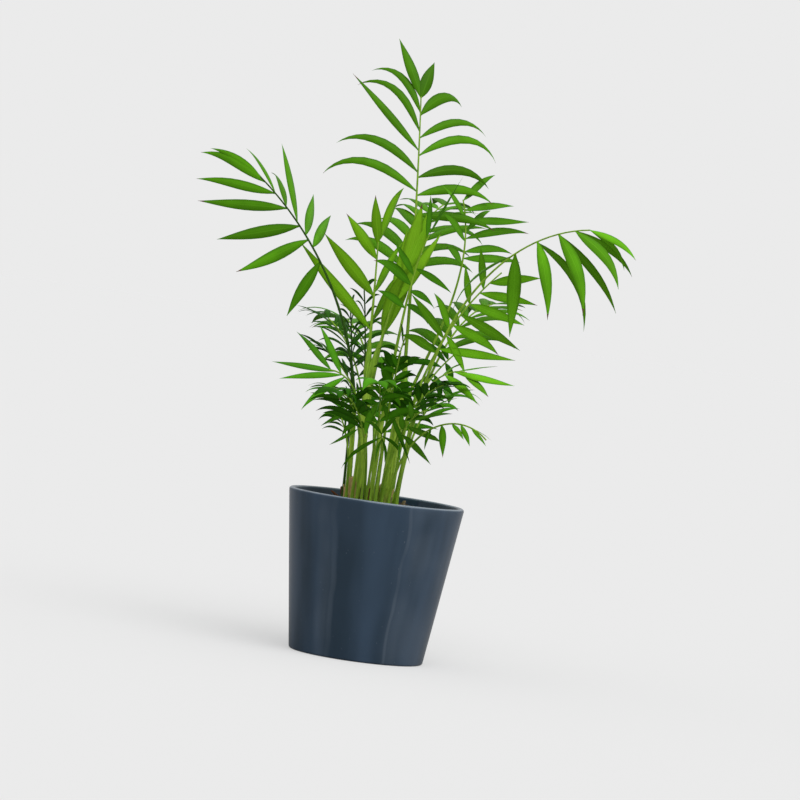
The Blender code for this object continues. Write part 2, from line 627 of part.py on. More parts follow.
def turned_solid(profile, sides):
    """A profile of (radius, height) turned about Z; a radius of zero ends it on the axis."""
    points, faces, rings = [], [], []
    for radius, height in profile:
        start = len(points)
        if radius == 0.0:
            points.append(Vector((0.0, 0.0, height)))
            rings.append([start] * sides)
            continue
        centre = Vector((0.0, 0.0, height))
        points += ring(centre, Vector((1, 0, 0)), Vector((0, 1, 0)), radius, sides)
        rings.append(list(range(start, start + sides)))
    for low, high in zip(rings, rings[1:]):
        for index in range(sides):
            after = (index + 1) % sides
            corners = (low[index], low[after], high[after], high[index])
            kept = tuple(dict.fromkeys(corners))
            if len(kept) > 2:
                faces.append(kept)
    return points, faces


def pot_outside(height):
    """The pot's outside radius at a height."""
    return POT_BASE_RADIUS + (POT_RIM_RADIUS - POT_BASE_RADIUS) * height / POT_HEIGHT


def pot_profile():
    """Out from the axis under the base, up the outside, over the round lip and down the inside."""
    profile = [(0.0, 0.0), (POT_BASE_RADIUS - FOOT_EDGE, 0.0)]
    for step in range(1, EDGE_STEPS + 1):
        turn = math.pi / 2 * step / EDGE_STEPS
        profile.append((
            pot_outside(FOOT_EDGE) - FOOT_EDGE * (1 - math.sin(turn)),
            FOOT_EDGE * (1 - math.cos(turn)),
        ))
    lip_height = POT_HEIGHT - LIP_RADIUS
    lip_middle = pot_outside(lip_height) - LIP_RADIUS
    for step in range(2 * EDGE_STEPS + 1):
        turn = math.pi * step / (2 * EDGE_STEPS)
        profile.append((
            lip_middle + LIP_RADIUS * math.cos(turn), lip_height + LIP_RADIUS * math.sin(turn)
        ))
    inside = pot_outside(POT_FLOOR) - POT_WALL
    profile += [(inside, POT_FLOOR + FOOT_EDGE), (inside - FOOT_EDGE, POT_FLOOR), (0.0, POT_FLOOR)]
    return profile


def root_ball_profile():
    """The potting mix: clear of the pot all round, mounded a little under the canes."""
    def wall(height):
        return pot_outside(height) - POT_WALL - MIX_CLEAR

    low = POT_FLOOR + SEAT_GAP
    edge_height = MIX_TOP - MIX_DROP
    profile = [(0.0, low), (wall(low) - FOOT_EDGE - MIX_CLEAR, low), (wall(edge_height), edge_height)]
    for step in range(MIX_SHOULDER_STEPS - 1, -1, -1):
        share = step / MIX_SHOULDER_STEPS
        profile.append((
            MIX_FLAT_RADIUS + (wall(edge_height) - MIX_FLAT_RADIUS) * share,
            MIX_TOP - MIX_DROP * (1 - math.cos(math.pi / 2 * share)),
        ))
    profile.append((0.0, MIX_TOP))
    return profile


class Solids:
    """The solids placed so far, as trees with their boxes, for finding what a new one meets."""

    def __init__(self):
        self.placed = []

    @staticmethod
    def box(points):
        return tuple(
            (min(point[axis] for point in points), max(point[axis] for point in points))
            for axis in range(3)
        )

    def add(self, node, points, faces):
        self.placed.append((node, self.box(points), BVHTree.FromPolygons(points, faces)))

    def meets(self, node, points, faces):
        """Whether a solid of a node crosses a solid of any other node."""
        box, tree = self.box(points), None
        for other, other_box, other_tree in self.placed:
            if other == node:
                continue
            if any(a[0] > b[1] or b[0] > a[1] for a, b in zip(box, other_box)):
                continue
            tree = tree or BVHTree.FromPolygons(points, faces)
            if tree.overlap(other_tree):
                return True
        return False


def clear_frond(frond, solids):
    """The frond, turned by the least azimuth that keeps its spine clear of what is placed."""
    for more in TRIED_AZIMUTHS:
        turned = frond._replace(azimuth=frond.azimuth + more)
        points, faces = spine_solid(turned, 0.0, 1.0, STALK_SIDES, STEPS_PER_SPINE // 2, CROSSING_ROOM)
        if not solids.meets(frond.name, points, faces):
            break
    return turned


def clear_leaflets(frond, solids):
    """The frond's leaflet solids that stay clear of every other node; the rest are left out."""
    bands = FINE_BANDS if frond.leaflet > FINE_LEAFLET_FROM else COARSE_BANDS
    found = []
    for leaflet in leaflets(frond):
        for more_rise in TRIED_RISES:
            if not solids.meets(frond.name, *leaflet_solid(leaflet, more_rise, bands, CROSSING_ROOM)):
                points, faces = leaflet_solid(leaflet, more_rise, bands)
                solids.add(frond.name, points, faces)
                found.append((points, faces))
                break
    return found


def finish(name, colour, roughness):
    material = bpy.data.materials.new(name)
    material.use_nodes = True
    shader = material.node_tree.nodes["Principled BSDF"]
    shader.inputs["Base Color"].default_value = (*colour, 1.0)
    shader.inputs["Roughness"].default_value = roughness
    return material


def add_object(name, points, faces, material, collection=None, smooth=False):
    mesh = bpy.data.meshes.new(name)
    mesh.from_pydata(points, [], faces)
    mesh.materials.append(material)
    mesh.polygons.foreach_set("use_smooth", [smooth] * len(mesh.polygons))
    mesh.update()
    made = bpy.data.objects.new(name, mesh)
    (collection or bpy.context.scene.collection).objects.link(made)
    return made


def joined(name, core, parts, material):
    """One solid out of a core and the parts sunk in it."""
    body = add_object(name, *core, material)
    group = bpy.data.collections.new(name + "_parts")
    bpy.context.scene.collection.children.link(group)
    for index, part in enumerate(parts):
        add_object(f"{name}_part_{index}", *part, material, group)
    union = body.modifiers.new("Union", "BOOLEAN")
    union.operation = "UNION"
    union.operand_type = "COLLECTION"
    union.collection = group
    union.solver = "EXACT"
    union.use_self = True
    bpy.context.view_layer.update()
    whole = bpy.data.meshes.new_from_object(body.evaluated_get(bpy.context.evaluated_depsgraph_get()))
    body.modifiers.remove(union)
    body.data = whole
    whole.name = name
    for part in list(group.objects):
        bpy.data.objects.remove(part, do_unlink=True)
    bpy.data.collections.remove(group)
    return body


def build():
    """Places canes and spines first, then the leaflets one by one, and makes every object."""
    solids = Solids()
    greens = {
        "leaf_dark": finish("leaf_dark", GREEN_DARK, 0.45),
        "leaf_mid": finish("leaf_mid", GREEN_MID, 0.42),
        "leaf_young": finish("leaf_young", GREEN_YOUNG, 0.40),
    }
    pot = turned_solid(pot_profile(), TURNED_SIDES)
    mix = turned_solid(root_ball_profile(), MIX_SIDES)
    solids.add("pot", *pot)
    solids.add("root_ball", *mix)
    add_object("pot", *pot, finish("slate_glaze", GLAZE_SLATE, 0.12), smooth=True)
    add_object("root_ball", *mix, finish("potting_mix", MIX_BROWN, 0.95))
    cane_green = finish("cane_green", CANE_GREEN, 0.40)
    for cane in CANES:
        solid = cane_solid(cane)
        solids.add(cane.name, *solid)
        add_object(cane.name, *solid, cane_green, smooth=True)

    posed = []
    for frond in FRONDS:
        turned = clear_frond(frond, solids)
        solids.add(turned.name, *spine_solid(turned, 0.0, 1.0, STALK_SIDES, STEPS_PER_SPINE // 2))
        posed.append(turned)
    for frond in posed:
        green = greens[frond.colour]
        name = "frond_" + frond.name
        found = clear_leaflets(frond, solids)
        if frond.whole:
            core = spine_solid(frond, 0.0, 1.0, RACHIS_SIDES, WHOLE_STEPS)
            joined(name, core, found, green)
            continue
        stalk_end, blade_start = split_shares(frond)
        stalk = spine_solid(frond, 0.0, stalk_end, STALK_SIDES, STALK_STEPS)
        add_object(name + "_stalk", *stalk, cane_green, smooth=True)
        core = spine_solid(frond, blade_start, 1.0, RACHIS_SIDES, frond.pairs)
        joined(name + "_blade", core, found, green)


def main():
    for item in list(bpy.data.objects):
        bpy.data.objects.remove(item, do_unlink=True)
    build()


if __name__ == "__main__":
    main()
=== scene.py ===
"""The looks of a potted parlour palm: glazed pot, potting mix, canes, stalks and feather fronds.

Metres, +Z up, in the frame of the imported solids: the origin is the centre of the pot's flat
underside, +X is to the right in the front view and +Y goes away from the viewer. An azimuth of
0 degrees points right, 90 away from the viewer, 180 left and 270 towards the viewer.
"""

import logging
import math
import random
from dataclasses import dataclass, field, replace
from enum import Enum
from typing import Iterator, NamedTuple, Optional, Sequence, Union

import bmesh
import bpy
from mathutils import Matrix, Vector, noise
from mathutils.bvhtree import BVHTree


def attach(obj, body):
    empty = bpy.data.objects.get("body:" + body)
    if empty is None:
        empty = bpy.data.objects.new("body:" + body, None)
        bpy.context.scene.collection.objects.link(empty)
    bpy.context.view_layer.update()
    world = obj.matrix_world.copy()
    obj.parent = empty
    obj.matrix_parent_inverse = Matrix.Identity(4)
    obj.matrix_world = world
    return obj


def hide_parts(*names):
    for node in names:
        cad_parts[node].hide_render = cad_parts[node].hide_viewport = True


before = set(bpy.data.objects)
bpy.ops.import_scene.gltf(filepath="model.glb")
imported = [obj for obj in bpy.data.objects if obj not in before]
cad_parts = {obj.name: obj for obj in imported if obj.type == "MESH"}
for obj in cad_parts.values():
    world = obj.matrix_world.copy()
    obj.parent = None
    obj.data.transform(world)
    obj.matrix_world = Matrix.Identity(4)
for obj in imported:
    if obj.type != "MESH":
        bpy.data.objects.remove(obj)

LOG = logging.getLogger("parlour_palm")
UP = Vector((0.0, 0.0, 1.0))
DOWN = Vector((0.0, 0.0, -1.0))
BODY = "root"

Colour = tuple[float, float, float]
Outline = Sequence[tuple[float, float]]
Solid = tuple[list[Vector], list[tuple[int, ...]]]
Fed = Union["Signal", bpy.types.NodeSocket, float, int, str, bool, Sequence[float]]


# Directions

def heading(azimuth: float) -> Vector:
    """The level direction of an azimuth in degrees."""
    turned = math.radians(azimuth)
    return Vector((math.cos(turned), math.sin(turned), 0.0))


def leaning(azimuth: float, lean: float) -> Vector:
    """The direction that leans from upright by lean degrees towards an azimuth."""
    tipped = math.radians(lean)
    return heading(azimuth) * math.sin(tipped) + Vector((0.0, 0.0, math.cos(tipped)))


def turned_about(vector: Vector, axis: Vector, degrees: float) -> Vector:
    """A vector turned about an axis."""
    return Matrix.Rotation(math.radians(degrees), 3, axis) @ vector


def eased(value: float, low: float, high: float) -> float:
    """A smooth step from 0 at low to 1 at high."""
    share = min(max((value - low) / (high - low), 0.0), 1.0)
    return share * share * (3.0 - 2.0 * share)


# Node trees

class Signal:
    """A number in a node tree; arithmetic on it adds the Math nodes that work it out."""

    def __init__(self, graph: "NodeGraph", socket: bpy.types.NodeSocket) -> None:
        """Wraps the output socket that carries the number."""
        self.graph = graph
        self.socket = socket

    def _math(self, operation: str, *operands: Fed) -> "Signal":
        """A Math node of one operation on the operands, in their order."""
        node = self.graph.add("ShaderNodeMath", {"operation": operation}, dict(enumerate(operands)))
        return Signal(self.graph, node.outputs[0])

    def __add__(self, other: Fed) -> "Signal":
        """self + other."""
        return self._math("ADD", self, other)

    __radd__ = __add__

    def __sub__(self, other: Fed) -> "Signal":
        """self - other."""
        return self._math("SUBTRACT", self, other)

    def __rsub__(self, other: Fed) -> "Signal":
        """other - self."""
        return self._math("SUBTRACT", other, self)

    def __mul__(self, other: Fed) -> "Signal":
        """self * other."""
        return self._math("MULTIPLY", self, other)

    __rmul__ = __mul__

    def __pow__(self, other: Fed) -> "Signal":
        """self ** other."""
        return self._math("POWER", self, other)

    def __abs__(self) -> "Signal":
        """The number without its sign."""
        return self._math("ABSOLUTE", self)

    def __lt__(self, other: Fed) -> "Signal":
        """1 where self is below other, else 0."""
        return self._math("LESS_THAN", self, other)

    def __gt__(self, other: Fed) -> "Signal":
        """1 where self is above other, else 0."""
        return self._math("GREATER_THAN", self, other)

    def sine(self) -> "Signal":
        """The sine of the number."""
        return self._math("SINE", self)

    def at_least(self, other: Fed) -> "Signal":
        """The greater of the two."""
        return self._math("MAXIMUM", self, other)

    def __mod__(self, other: Fed) -> "Signal":
        """What is left of self after whole others."""
        return self._math("FLOORED_MODULO", self, other)

    def turn_to(self, across: "Signal") -> "Signal":
        """The angle in radians of a direction with this much up and that much across."""
        return self._math("ARCTAN2", self, across)

    def ramp(self, low: float, high: float) -> "Signal":
        """A smooth step from 0 at low to 1 at high, which may be the smaller."""
        node = self.graph.add(
            "ShaderNodeMapRange",
            {"interpolation_type": "SMOOTHSTEP"},
            {"Value": self, "From Min": low, "From Max": high},
        )
        return Signal(self.graph, node.outputs["Result"])


class NodeGraph:
    """A node tree that is filled through one method for a node of any kind."""

    def __init__(self, tree: bpy.types.NodeTree) -> None:
        """Takes the tree to fill."""
        self.tree = tree

    def add(
        self,
        kind: str,
        settings: Optional[dict[str, object]] = None,
        inputs: Optional[dict[Union[int, str], Fed]] = None,
    ) -> bpy.types.Node:
        """Adds a node.

        Args:
            kind: The node's type.
            settings: Its properties, and "stops" for a colour ramp: pairs of place and colour.
            inputs: Values or links by the name, identifier or index of the socket.

        Returns:
            The node.
        """
        node = self.tree.nodes.new(kind)
        for name, value in (settings or {}).items():
            if name == "stops":
                self._set_stops(node.color_ramp, value)
            else:
                setattr(node, name, value)
        for key, value in (inputs or {}).items():
            self.feed(self._socket(node, key), value)
        return node

    @staticmethod
    def _socket(node: bpy.types.Node, key: Union[int, str]) -> bpy.types.NodeSocket:
        """The node's input of that index, identifier or name."""
        if isinstance(key, int):
            return node.inputs[key]
        exact = [socket for socket in node.inputs if socket.identifier == key]
        return exact[0] if exact else node.inputs[key]

    @staticmethod
    def _set_stops(ramp: bpy.types.ColorRamp, stops: Sequence[tuple[float, Colour]]) -> None:
        """Gives a colour ramp its stops."""
        while len(ramp.elements) < len(stops):
            ramp.elements.new(0.5)
        for element, (place, colour) in zip(ramp.elements, stops):
            element.position = place
            element.color = (*colour, 1.0)

    def feed(self, socket: bpy.types.NodeSocket, value: Fed) -> None:
        """Links a socket to a signal or another socket, or sets its value."""
        if isinstance(value, Signal):
            self.tree.links.new(value.socket, socket)
        elif isinstance(value, bpy.types.NodeSocket):
            self.tree.links.new(value, socket)
        elif socket.type == "RGBA" and len(value) == 3:
            socket.default_value = (*value, 1.0)
        else:
            socket.default_value = value

    def signal(self, node: bpy.types.Node, output: Union[int, str] = 0) -> Signal:
        """The number that a node's output carries."""
        return Signal(self, node.outputs[output])

    def mixed(self, share: Fed, first: Fed, second: Fed) -> bpy.types.NodeSocket:
        """A colour between two, by the share of the second."""
        node = self.add(
            "ShaderNodeMix",
            {"data_type": "RGBA"},
            {"Factor_Float": share, "A_Color": first, "B_Color": second},
        )
        return next(socket for socket in node.outputs if socket.identifier == "Result_Color")

    def place(self, stretch: Sequence[float] = (1.0, 1.0, 1.0)) -> bpy.types.NodeSocket:
        """The object's own coordinates, each axis scaled by its stretch."""
        own = self.add("ShaderNodeTexCoord").outputs["Object"]
        return self.add("ShaderNodeMapping", {}, {"Vector": own, "Scale": stretch}).outputs[0]

    def speckle(self, scale: float, detail: float, stretch: Sequence[float] = (1.0, 1.0, 1.0)) -> Signal:
        """Noise of that scale per metre over the object's own coordinates."""
        node = self.add(
            "ShaderNodeTexNoise", {}, {"Vector": self.place(stretch), "Scale": scale, "Detail": detail}
        )
        return self.signal(node, "Fac")

    def attribute(self, name: str) -> Signal:
        """The number that the piece's attribute of that name holds."""
        return self.signal(self.add("ShaderNodeAttribute", {"attribute_name": name}), "Fac")

    def bump(self, height: Fed, strength: float, distance: float) -> bpy.types.NodeSocket:
        """A normal that follows a height."""
        node = self.add("ShaderNodeBump", {}, {"Height": height, "Strength": strength, "Distance": distance})
        return node.outputs["Normal"]


# Finishes

@dataclass(frozen=True)
class Finish:
    """What every finish has: a name, a main colour, a roughness and how strong its gloss is."""

    name: str
    colour: Colour
    roughness: float
    gloss: float = 0.5

    def material(self) -> bpy.types.Material:
        """The finish's material, made the first time that it is asked for."""
        made = bpy.data.materials.get(self.name)
        if made is None:
            made = bpy.data.materials.new(self.name)
            made.use_nodes = True
            shader = made.node_tree.nodes["Principled BSDF"]
            shader.inputs["Base Color"].default_value = (*self.colour, 1.0)
            shader.inputs["Roughness"].default_value = self.roughness
            shader.inputs["Specular IOR Level"].default_value = self.gloss
            self.dress(NodeGraph(made.node_tree), shader)
        return made

    def dress(self, graph: NodeGraph, shader: bpy.types.Node) -> None:
        """Adds what varies over the surface; a plain finish has nothing."""

    def shade(self, by: float) -> Colour:
        """The main colour made darker or lighter."""
        return tuple(min(part * by, 1.0) for part in self.colour)


@dataclass(frozen=True)
class LeafFinish(Finish):
    """A leaflet's skin: fine lengthwise veins, a paler midrib and faint mottling."""

    midrib: Colour = (0.16, 0.36, 0.05)
    veins: float = 9.0
    relief: float = 0.00012

    def dress(self, graph: NodeGraph, shader: bpy.types.Node) -> None:
        """Tones the blade leaflet by leaflet, mottles it, pales its midrib and ribs it along its veins."""
        across, along, tone = (graph.attribute(name) for name in ("across", "along", "tone"))
        mottle = graph.speckle(38.0, 2.0)
        fine = graph.speckle(700.0, 2.0)
        vein = (across * (self.veins * math.pi)).sine() * 0.5 + 0.5
        rib = abs(across).ramp(0.13, 0.02)
        toned = graph.mixed(tone, self.shade(0.72), self.shade(1.34))
        blade = graph.mixed(mottle.ramp(0.42, 0.70) * 0.45, toned, self.shade(0.55))
        lined = graph.mixed(vein * 0.22 + fine * 0.10, blade, self.shade(0.55))
        edged = graph.mixed(abs(across).ramp(0.45, 1.0) * 0.65, lined, self.shade(0.42))
        ribbed = graph.mixed(rib * 0.35 * along.ramp(1.0, 0.2), edged, self.midrib)
        graph.feed(shader.inputs["Base Color"], ribbed)
        graph.feed(shader.inputs["Roughness"], fine * 0.16 + (self.roughness - 0.08))
        relief = vein * 0.35 + rib * 0.8 + fine * 0.15
        graph.feed(shader.inputs["Normal"], graph.bump(relief, 0.35, self.relief))


@dataclass(frozen=True)
class DryFinish(Finish):
    """A dry leaf tip or sheath: papery, with fibres that run along it."""

    streak: Colour = (0.10, 0.060, 0.026)

    def dress(self, graph: NodeGraph, shader: bpy.types.Node) -> None:
        """Streaks the surface with darker fibres."""
        fibre = graph.speckle(1500.0, 3.0, (1.0, 1.0, 0.12))
        patch = graph.speckle(160.0, 2.0)
        fibred = graph.mixed(fibre.ramp(0.42, 0.66) * 0.6, self.colour, self.streak)
        graph.feed(shader.inputs["Base Color"], graph.mixed(patch.ramp(0.45, 0.7) * 0.5, fibred, self.shade(0.6)))
        graph.feed(shader.inputs["Normal"], graph.bump(fibre, 0.5, 0.0002))


@dataclass(frozen=True)
class StalkFinish(Finish):
    """A stalk's or cane's skin: smooth green with lengthwise streaks and pale dots."""

    streak: Colour = (0.05, 0.13, 0.02)
    foot: Colour = (0.14, 0.12, 0.035)
    foot_height: float = 0.0

    def dress(self, graph: NodeGraph, shader: bpy.types.Node) -> None:
        """Streaks the skin, dots it and darkens it at the foot of a cane."""
        streak = graph.speckle(620.0, 3.0, (1.0, 1.0, 0.05))
        cloud = graph.speckle(70.0, 2.0)
        dots = graph.speckle(1700.0, 1.0)
        skin = graph.mixed(streak.ramp(0.38, 0.62) * 0.7, self.shade(1.15), self.streak)
        cloudy = graph.mixed(cloud.ramp(0.35, 0.7) * 0.35, skin, self.shade(0.75))
        dotted = graph.mixed(dots.ramp(0.70, 0.76) * 0.5, cloudy, self.shade(1.7))
        if self.foot_height > 0.0:
            height = graph.signal(graph.add("ShaderNodeSeparateXYZ", {}, {0: graph.place()}), "Z")
            low = (height + cloud * 0.010).ramp(self.foot_height + 0.016, self.foot_height + 0.002)
            dotted = graph.mixed(low * 0.75, dotted, self.foot)
        graph.feed(shader.inputs["Base Color"], dotted)
        graph.feed(shader.inputs["Normal"], graph.bump(streak * 0.8 + dots * 0.2, 0.35, 0.0002))


@dataclass(frozen=True)
class GlazeFinish(Finish):
    """A dark slate glaze that has run a little: pale upright runs and painted highlight streaks, a lip paler from
    thin glaze and a painted highlight, and pin specks.
    """

    # The pale colour of the glaze runs, of the painted highlight streaks and of the specks.
    thin_glaze_and_highlight: Colour = (0.200, 0.245, 0.305)
    pooled: Colour = (0.022, 0.044, 0.070)
    # The lip's paler colour: partly thinner glaze, partly a painted highlight.
    lip: Colour = (0.300, 0.355, 0.425)
    lip_height: float = 0.133
    coat: float = 0.45
    # Pale bands by azimuth, half width and strength: those from 238 to 322 degrees face the camera and are painted
    # highlights in place of reflected lights; the others are pale glaze runs.
    pale_runs_and_highlights: tuple[tuple[float, float, float], ...] = (
        (238.0, 9.0, 0.16), (245.0, 3.0, 0.14), (294.5, 1.8, 0.20), (299.0, 9.0, 0.10), (322.0, 38.0, 0.20),
        (22.0, 12.0, 0.15), (75.0, 5.0, 0.18), (118.0, 26.0, 0.16), (168.0, 7.0, 0.15),
    )

    def dress(self, graph: NodeGraph, shader: bpy.types.Node) -> None:
        """Runs the glaze down the wall, paints pale runs and highlight streaks, pales the lip with thin glaze and a
        painted highlight, and waves its skin.
        """
        runs = graph.speckle(34.0, 2.0, (1.0, 1.0, 0.10))
        cloud = graph.speckle(16.0, 2.0)
        specks = graph.speckle(900.0, 0.0)
        peel = graph.speckle(1300.0, 1.0)
        split = graph.add("ShaderNodeSeparateXYZ", {}, {0: graph.place()})
        across, away, height = (graph.signal(split, axis) for axis in "XYZ")
        turn = away.turn_to(across) * (180.0 / math.pi) % 360.0
        body = graph.mixed(runs.ramp(0.36, 0.66), self.pooled, self.shade(1.20))
        clouded = graph.mixed(cloud.ramp(0.35, 0.68) * 0.45, body, self.colour)
        wander = (cloud - 0.5) * 12.0
        comes = graph.speckle(24.0, 1.0).ramp(0.30, 0.62) * 0.7 + 0.3
        # Pale runs, which are painted highlight streaks where they face the camera.
        for azimuth, half, strength in self.pale_runs_and_highlights:
            beside = abs(turn + wander - azimuth)
            clouded = graph.mixed(beside.ramp(half, half * 0.2) * comes * strength, clouded, self.thin_glaze_and_highlight)
        # The lip is paler: thinner glaze there, and a painted highlight.
        crest = (height + runs * 0.0008).ramp(self.lip_height - 0.0010, self.lip_height + 0.0002)
        lip_thinned_and_lit = graph.mixed(crest, clouded, self.lip)
        specked = graph.mixed(specks.ramp(0.86, 0.88) * 0.6, lip_thinned_and_lit, self.thin_glaze_and_highlight)
        graph.feed(shader.inputs["Base Color"], specked)
        shader.inputs["Coat Weight"].default_value = self.coat
        shader.inputs["Coat Roughness"].default_value = 0.05
        graph.feed(shader.inputs["Normal"], graph.bump(runs * 0.9 + peel * 0.03, 0.22, 0.0012))


@dataclass(frozen=True)
class MixFinish(Finish):
    """Crumbly matter: potting mix, bark or fibre, light and dark by the crumb."""

    pale: Colour = (0.16, 0.10, 0.06)
    grain: float = 420.0

    def dress(self, graph: NodeGraph, shader: bpy.types.Node) -> None:
        """Mottles the crumbs and roughens them."""
        crumb = graph.speckle(self.grain, 4.0)
        patch = graph.speckle(self.grain * 0.2, 2.0)
        mottled = graph.mixed(crumb.ramp(0.40, 0.68) * 0.7, self.shade(0.7), self.pale)
        graph.feed(shader.inputs["Base Color"], graph.mixed(patch.ramp(0.4, 0.7) * 0.5, mottled, self.colour))
        graph.feed(shader.inputs["Roughness"], crumb * 0.2 + (self.roughness - 0.1))
        graph.feed(shader.inputs["Normal"], graph.bump(crumb, 0.8, 0.0008))


class Tint(Enum):
    """The greens that whole fronds are dealt: each is a plain colour of an upper face."""

    LEFT = (0.100, 0.345, 0.006)
    TOP = (0.090, 0.300, 0.005)
    BRIGHT = (0.140, 0.460, 0.009)
    FRESH = (0.165, 0.520, 0.010)
    YOUNG = (0.188, 0.470, 0.008)
    PALE = (0.235, 0.550, 0.016)
    DEEP = (0.032, 0.160, 0.003)
    SHADE = (0.086, 0.345, 0.007)
    SOFT = (0.118, 0.410, 0.012)
    FINE = (0.030, 0.128, 0.006)

    def finish(self) -> LeafFinish:
        """The upper face's finish."""
        return LeafFinish("blade_" + self.name.lower(), self.value, 0.42, self.gloss(), self.rib())

    def under_finish(self) -> LeafFinish:
        """The paler, duller lower face's finish."""
        red, green, blue = self.value
        under = (red * 0.98 + 0.006, green * 0.94 + 0.010, blue + 0.002)
        return LeafFinish("blade_under_" + self.name.lower(), under, 0.60, self.gloss() / 2, self.rib())

    def gloss(self) -> float:
        """How strong the upper face's gloss is: weaker on the dark inner fronds."""
        return 0.035 if self in (Tint.DEEP, Tint.FINE) else 0.05 if self in (Tint.SHADE, Tint.SOFT) else 0.06

    def rib(self) -> Colour:
        """The midrib's paler green."""
        red, green, blue = self.value
        return (red * 1.35 + 0.02, green * 1.25 + 0.02, blue * 1.6 + 0.01)


class Kind(Enum):
    """The kinds of leaf that are joined apart, with the material slot of each."""

    DARK = "leaf_dark"
    MID = "leaf_mid"
    YOUNG = "leaf_young"

    def tints(self) -> tuple[Tint, ...]:
        """The tints that the kind's fronds are dealt."""
        return {
            Kind.DARK: (Tint.DEEP, Tint.SHADE, Tint.SOFT, Tint.FINE),
            Kind.MID: (Tint.LEFT, Tint.TOP, Tint.BRIGHT, Tint.FRESH),
            Kind.YOUNG: (Tint.YOUNG, Tint.PALE),
        }[self]


DRY_TIP = DryFinish("dry_tip", (0.160, 0.095, 0.045), 0.75, 0.15)
PAPER_SHEATH = DryFinish("paper_sheath", (0.820, 0.600, 0.250), 0.70, 0.12, (0.52, 0.35, 0.130))
STALK_SKIN = StalkFinish("stalk_skin", (0.290, 0.500, 0.040), 0.42, 0.11, (0.130, 0.290, 0.020))
PALE_STALK = StalkFinish("pale_stalk_skin", (0.300, 0.520, 0.045), 0.42, 0.11, (0.160, 0.330, 0.025))
# DARK_STALK is a dark copy of the stalk skin: painted shade on the left frond's stalk, which stands in shadow. The
# fine fronds' stalks also take it.
DARK_STALK = StalkFinish("dark_stalk_skin", (0.044, 0.120, 0.012), 0.45, 0.12, (0.020, 0.060, 0.006))
TAN_STUB = DryFinish("tan_stub", (0.330, 0.260, 0.150), 0.80, 0.10, (0.16, 0.11, 0.060))
MOSSY_STUB = DryFinish("mossy_stub", (0.170, 0.210, 0.100), 0.80, 0.10, (0.09, 0.10, 0.045))
RED_STUB = DryFinish("red_stub", (0.150, 0.060, 0.026), 0.80, 0.10, (0.07, 0.028, 0.014))
RED_BARK = MixFinish("red_bark", (0.160, 0.055, 0.030), 0.85, 0.15, (0.300, 0.120, 0.070), 700.0)
DARK_BARK = MixFinish("dark_bark", (0.040, 0.024, 0.016), 0.88, 0.15, (0.110, 0.070, 0.045), 700.0)
POTTING_MIX = MixFinish("potting_mix_dark", (0.045, 0.028, 0.018), 0.92, 0.12, (0.120, 0.075, 0.045))
COIR = MixFinish("coir", (0.190, 0.110, 0.055), 0.85, 0.15, (0.300, 0.190, 0.100), 900.0)
# SLATE_GLAZE carries painted highlight streaks and a partly painted highlight on its lip.
SLATE_GLAZE = GlazeFinish("slate_glaze_run", (0.040, 0.070, 0.113), 0.35, 0.05)


# Meshes

@dataclass
class MeshBuilder:
    """Gathers points, faces or edges, and numbers on each point, for one mesh."""

    name: str
    points: list[Vector] = field(default_factory=list)
    edges: list[tuple[int, int]] = field(default_factory=list)
    faces: list[tuple[int, ...]] = field(default_factory=list)
    numbers: dict[str, list[float]] = field(default_factory=dict)
    vectors: dict[str, list[Vector]] = field(default_factory=dict)

    def line(self, points: Sequence[Vector], closed: bool = False, **values: Sequence) -> None:
        """Adds a line of points.

        Args:
            points: The points, in order.
            closed: Whether the last is joined to the first.
            values: A number or a vector for each point, by its attribute's name.
        """
        start, count = len(self.points), len(points)
        self.points += points
        self.edges += [(start + index, start + index + 1) for index in range(count - 1)]
        if closed:
            self.edges.append((start + count - 1, start))
        for name, row in values.items():
            held = self.vectors if isinstance(row[0], Vector) else self.numbers
            held.setdefault(name, []).extend(row)

    def grid(self, rows: Sequence[Sequence[Vector]]) -> None:
        """Adds rings of points, each joined to the next round its whole turn."""
        start, count = len(self.points), len(rows[0])
        self.points += [point for row in rows for point in row]
        for row in range(len(rows) - 1):
            low, high = start + row * count, start + (row + 1) * count
            for index in range(count):
                after = (index + 1) % count
                self.faces.append((low + index, low + after, high + after, high + index))

    def cap(self, first: int, count: int, centre: Vector, inward: bool) -> None:
        """Closes a ring of points on a centre.

        Args:
            first: The ring's first point.
            count: How many it has.
            centre: The point in its middle.
            inward: Whether the fan turns the other way.
        """
        middle = len(self.points)
        self.points.append(centre)
        for index in range(count):
            pair = (first + index, first + (index + 1) % count)
            self.faces.append((*pair[::-1], middle) if inward else (*pair, middle))

    def mesh(self) -> bpy.types.Mesh:
        """The mesh, with its attributes."""
        made = bpy.data.meshes.new(self.name)
        made.from_pydata(self.points, self.edges, self.faces)
        for name, row in self.numbers.items():
            made.attributes.new(name, "FLOAT", "POINT").data.foreach_set("value", row)
        for name, row in self.vectors.items():
            flat = [part for vector in row for part in vector]
            made.attributes.new(name, "FLOAT_VECTOR", "POINT").data.foreach_set("vector", flat)
        made.update()
        return made

    def piece(self, finish: Finish, smooth: bool = True) -> bpy.types.Object:
        """The mesh as an object with one finish."""
        made = self.mesh()
        made.materials.append(finish.material())
        made.polygons.foreach_set("use_smooth", [smooth] * len(made.polygons))
        return linked(self.name, made)


def linked(name: str, mesh: bpy.types.Mesh) -> bpy.types.Object:
    """An object of a mesh, in the scene."""
    mesh.name = name
    made = bpy.data.objects.new(name, mesh)
    bpy.context.scene.collection.objects.link(made)
    return made


def settle(piece: bpy.types.Object, nodes: Sequence[str] = ()) -> bpy.types.Object:
    """Rides a piece on the palm's body and hides the solids that it stands for."""
    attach(piece, BODY)
    if nodes:
        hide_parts(*nodes)
    LOG.info("%s: %d faces for %s", piece.name, len(piece.data.polygons), ", ".join(nodes) or "no node")
    return piece


# Geometry Nodes

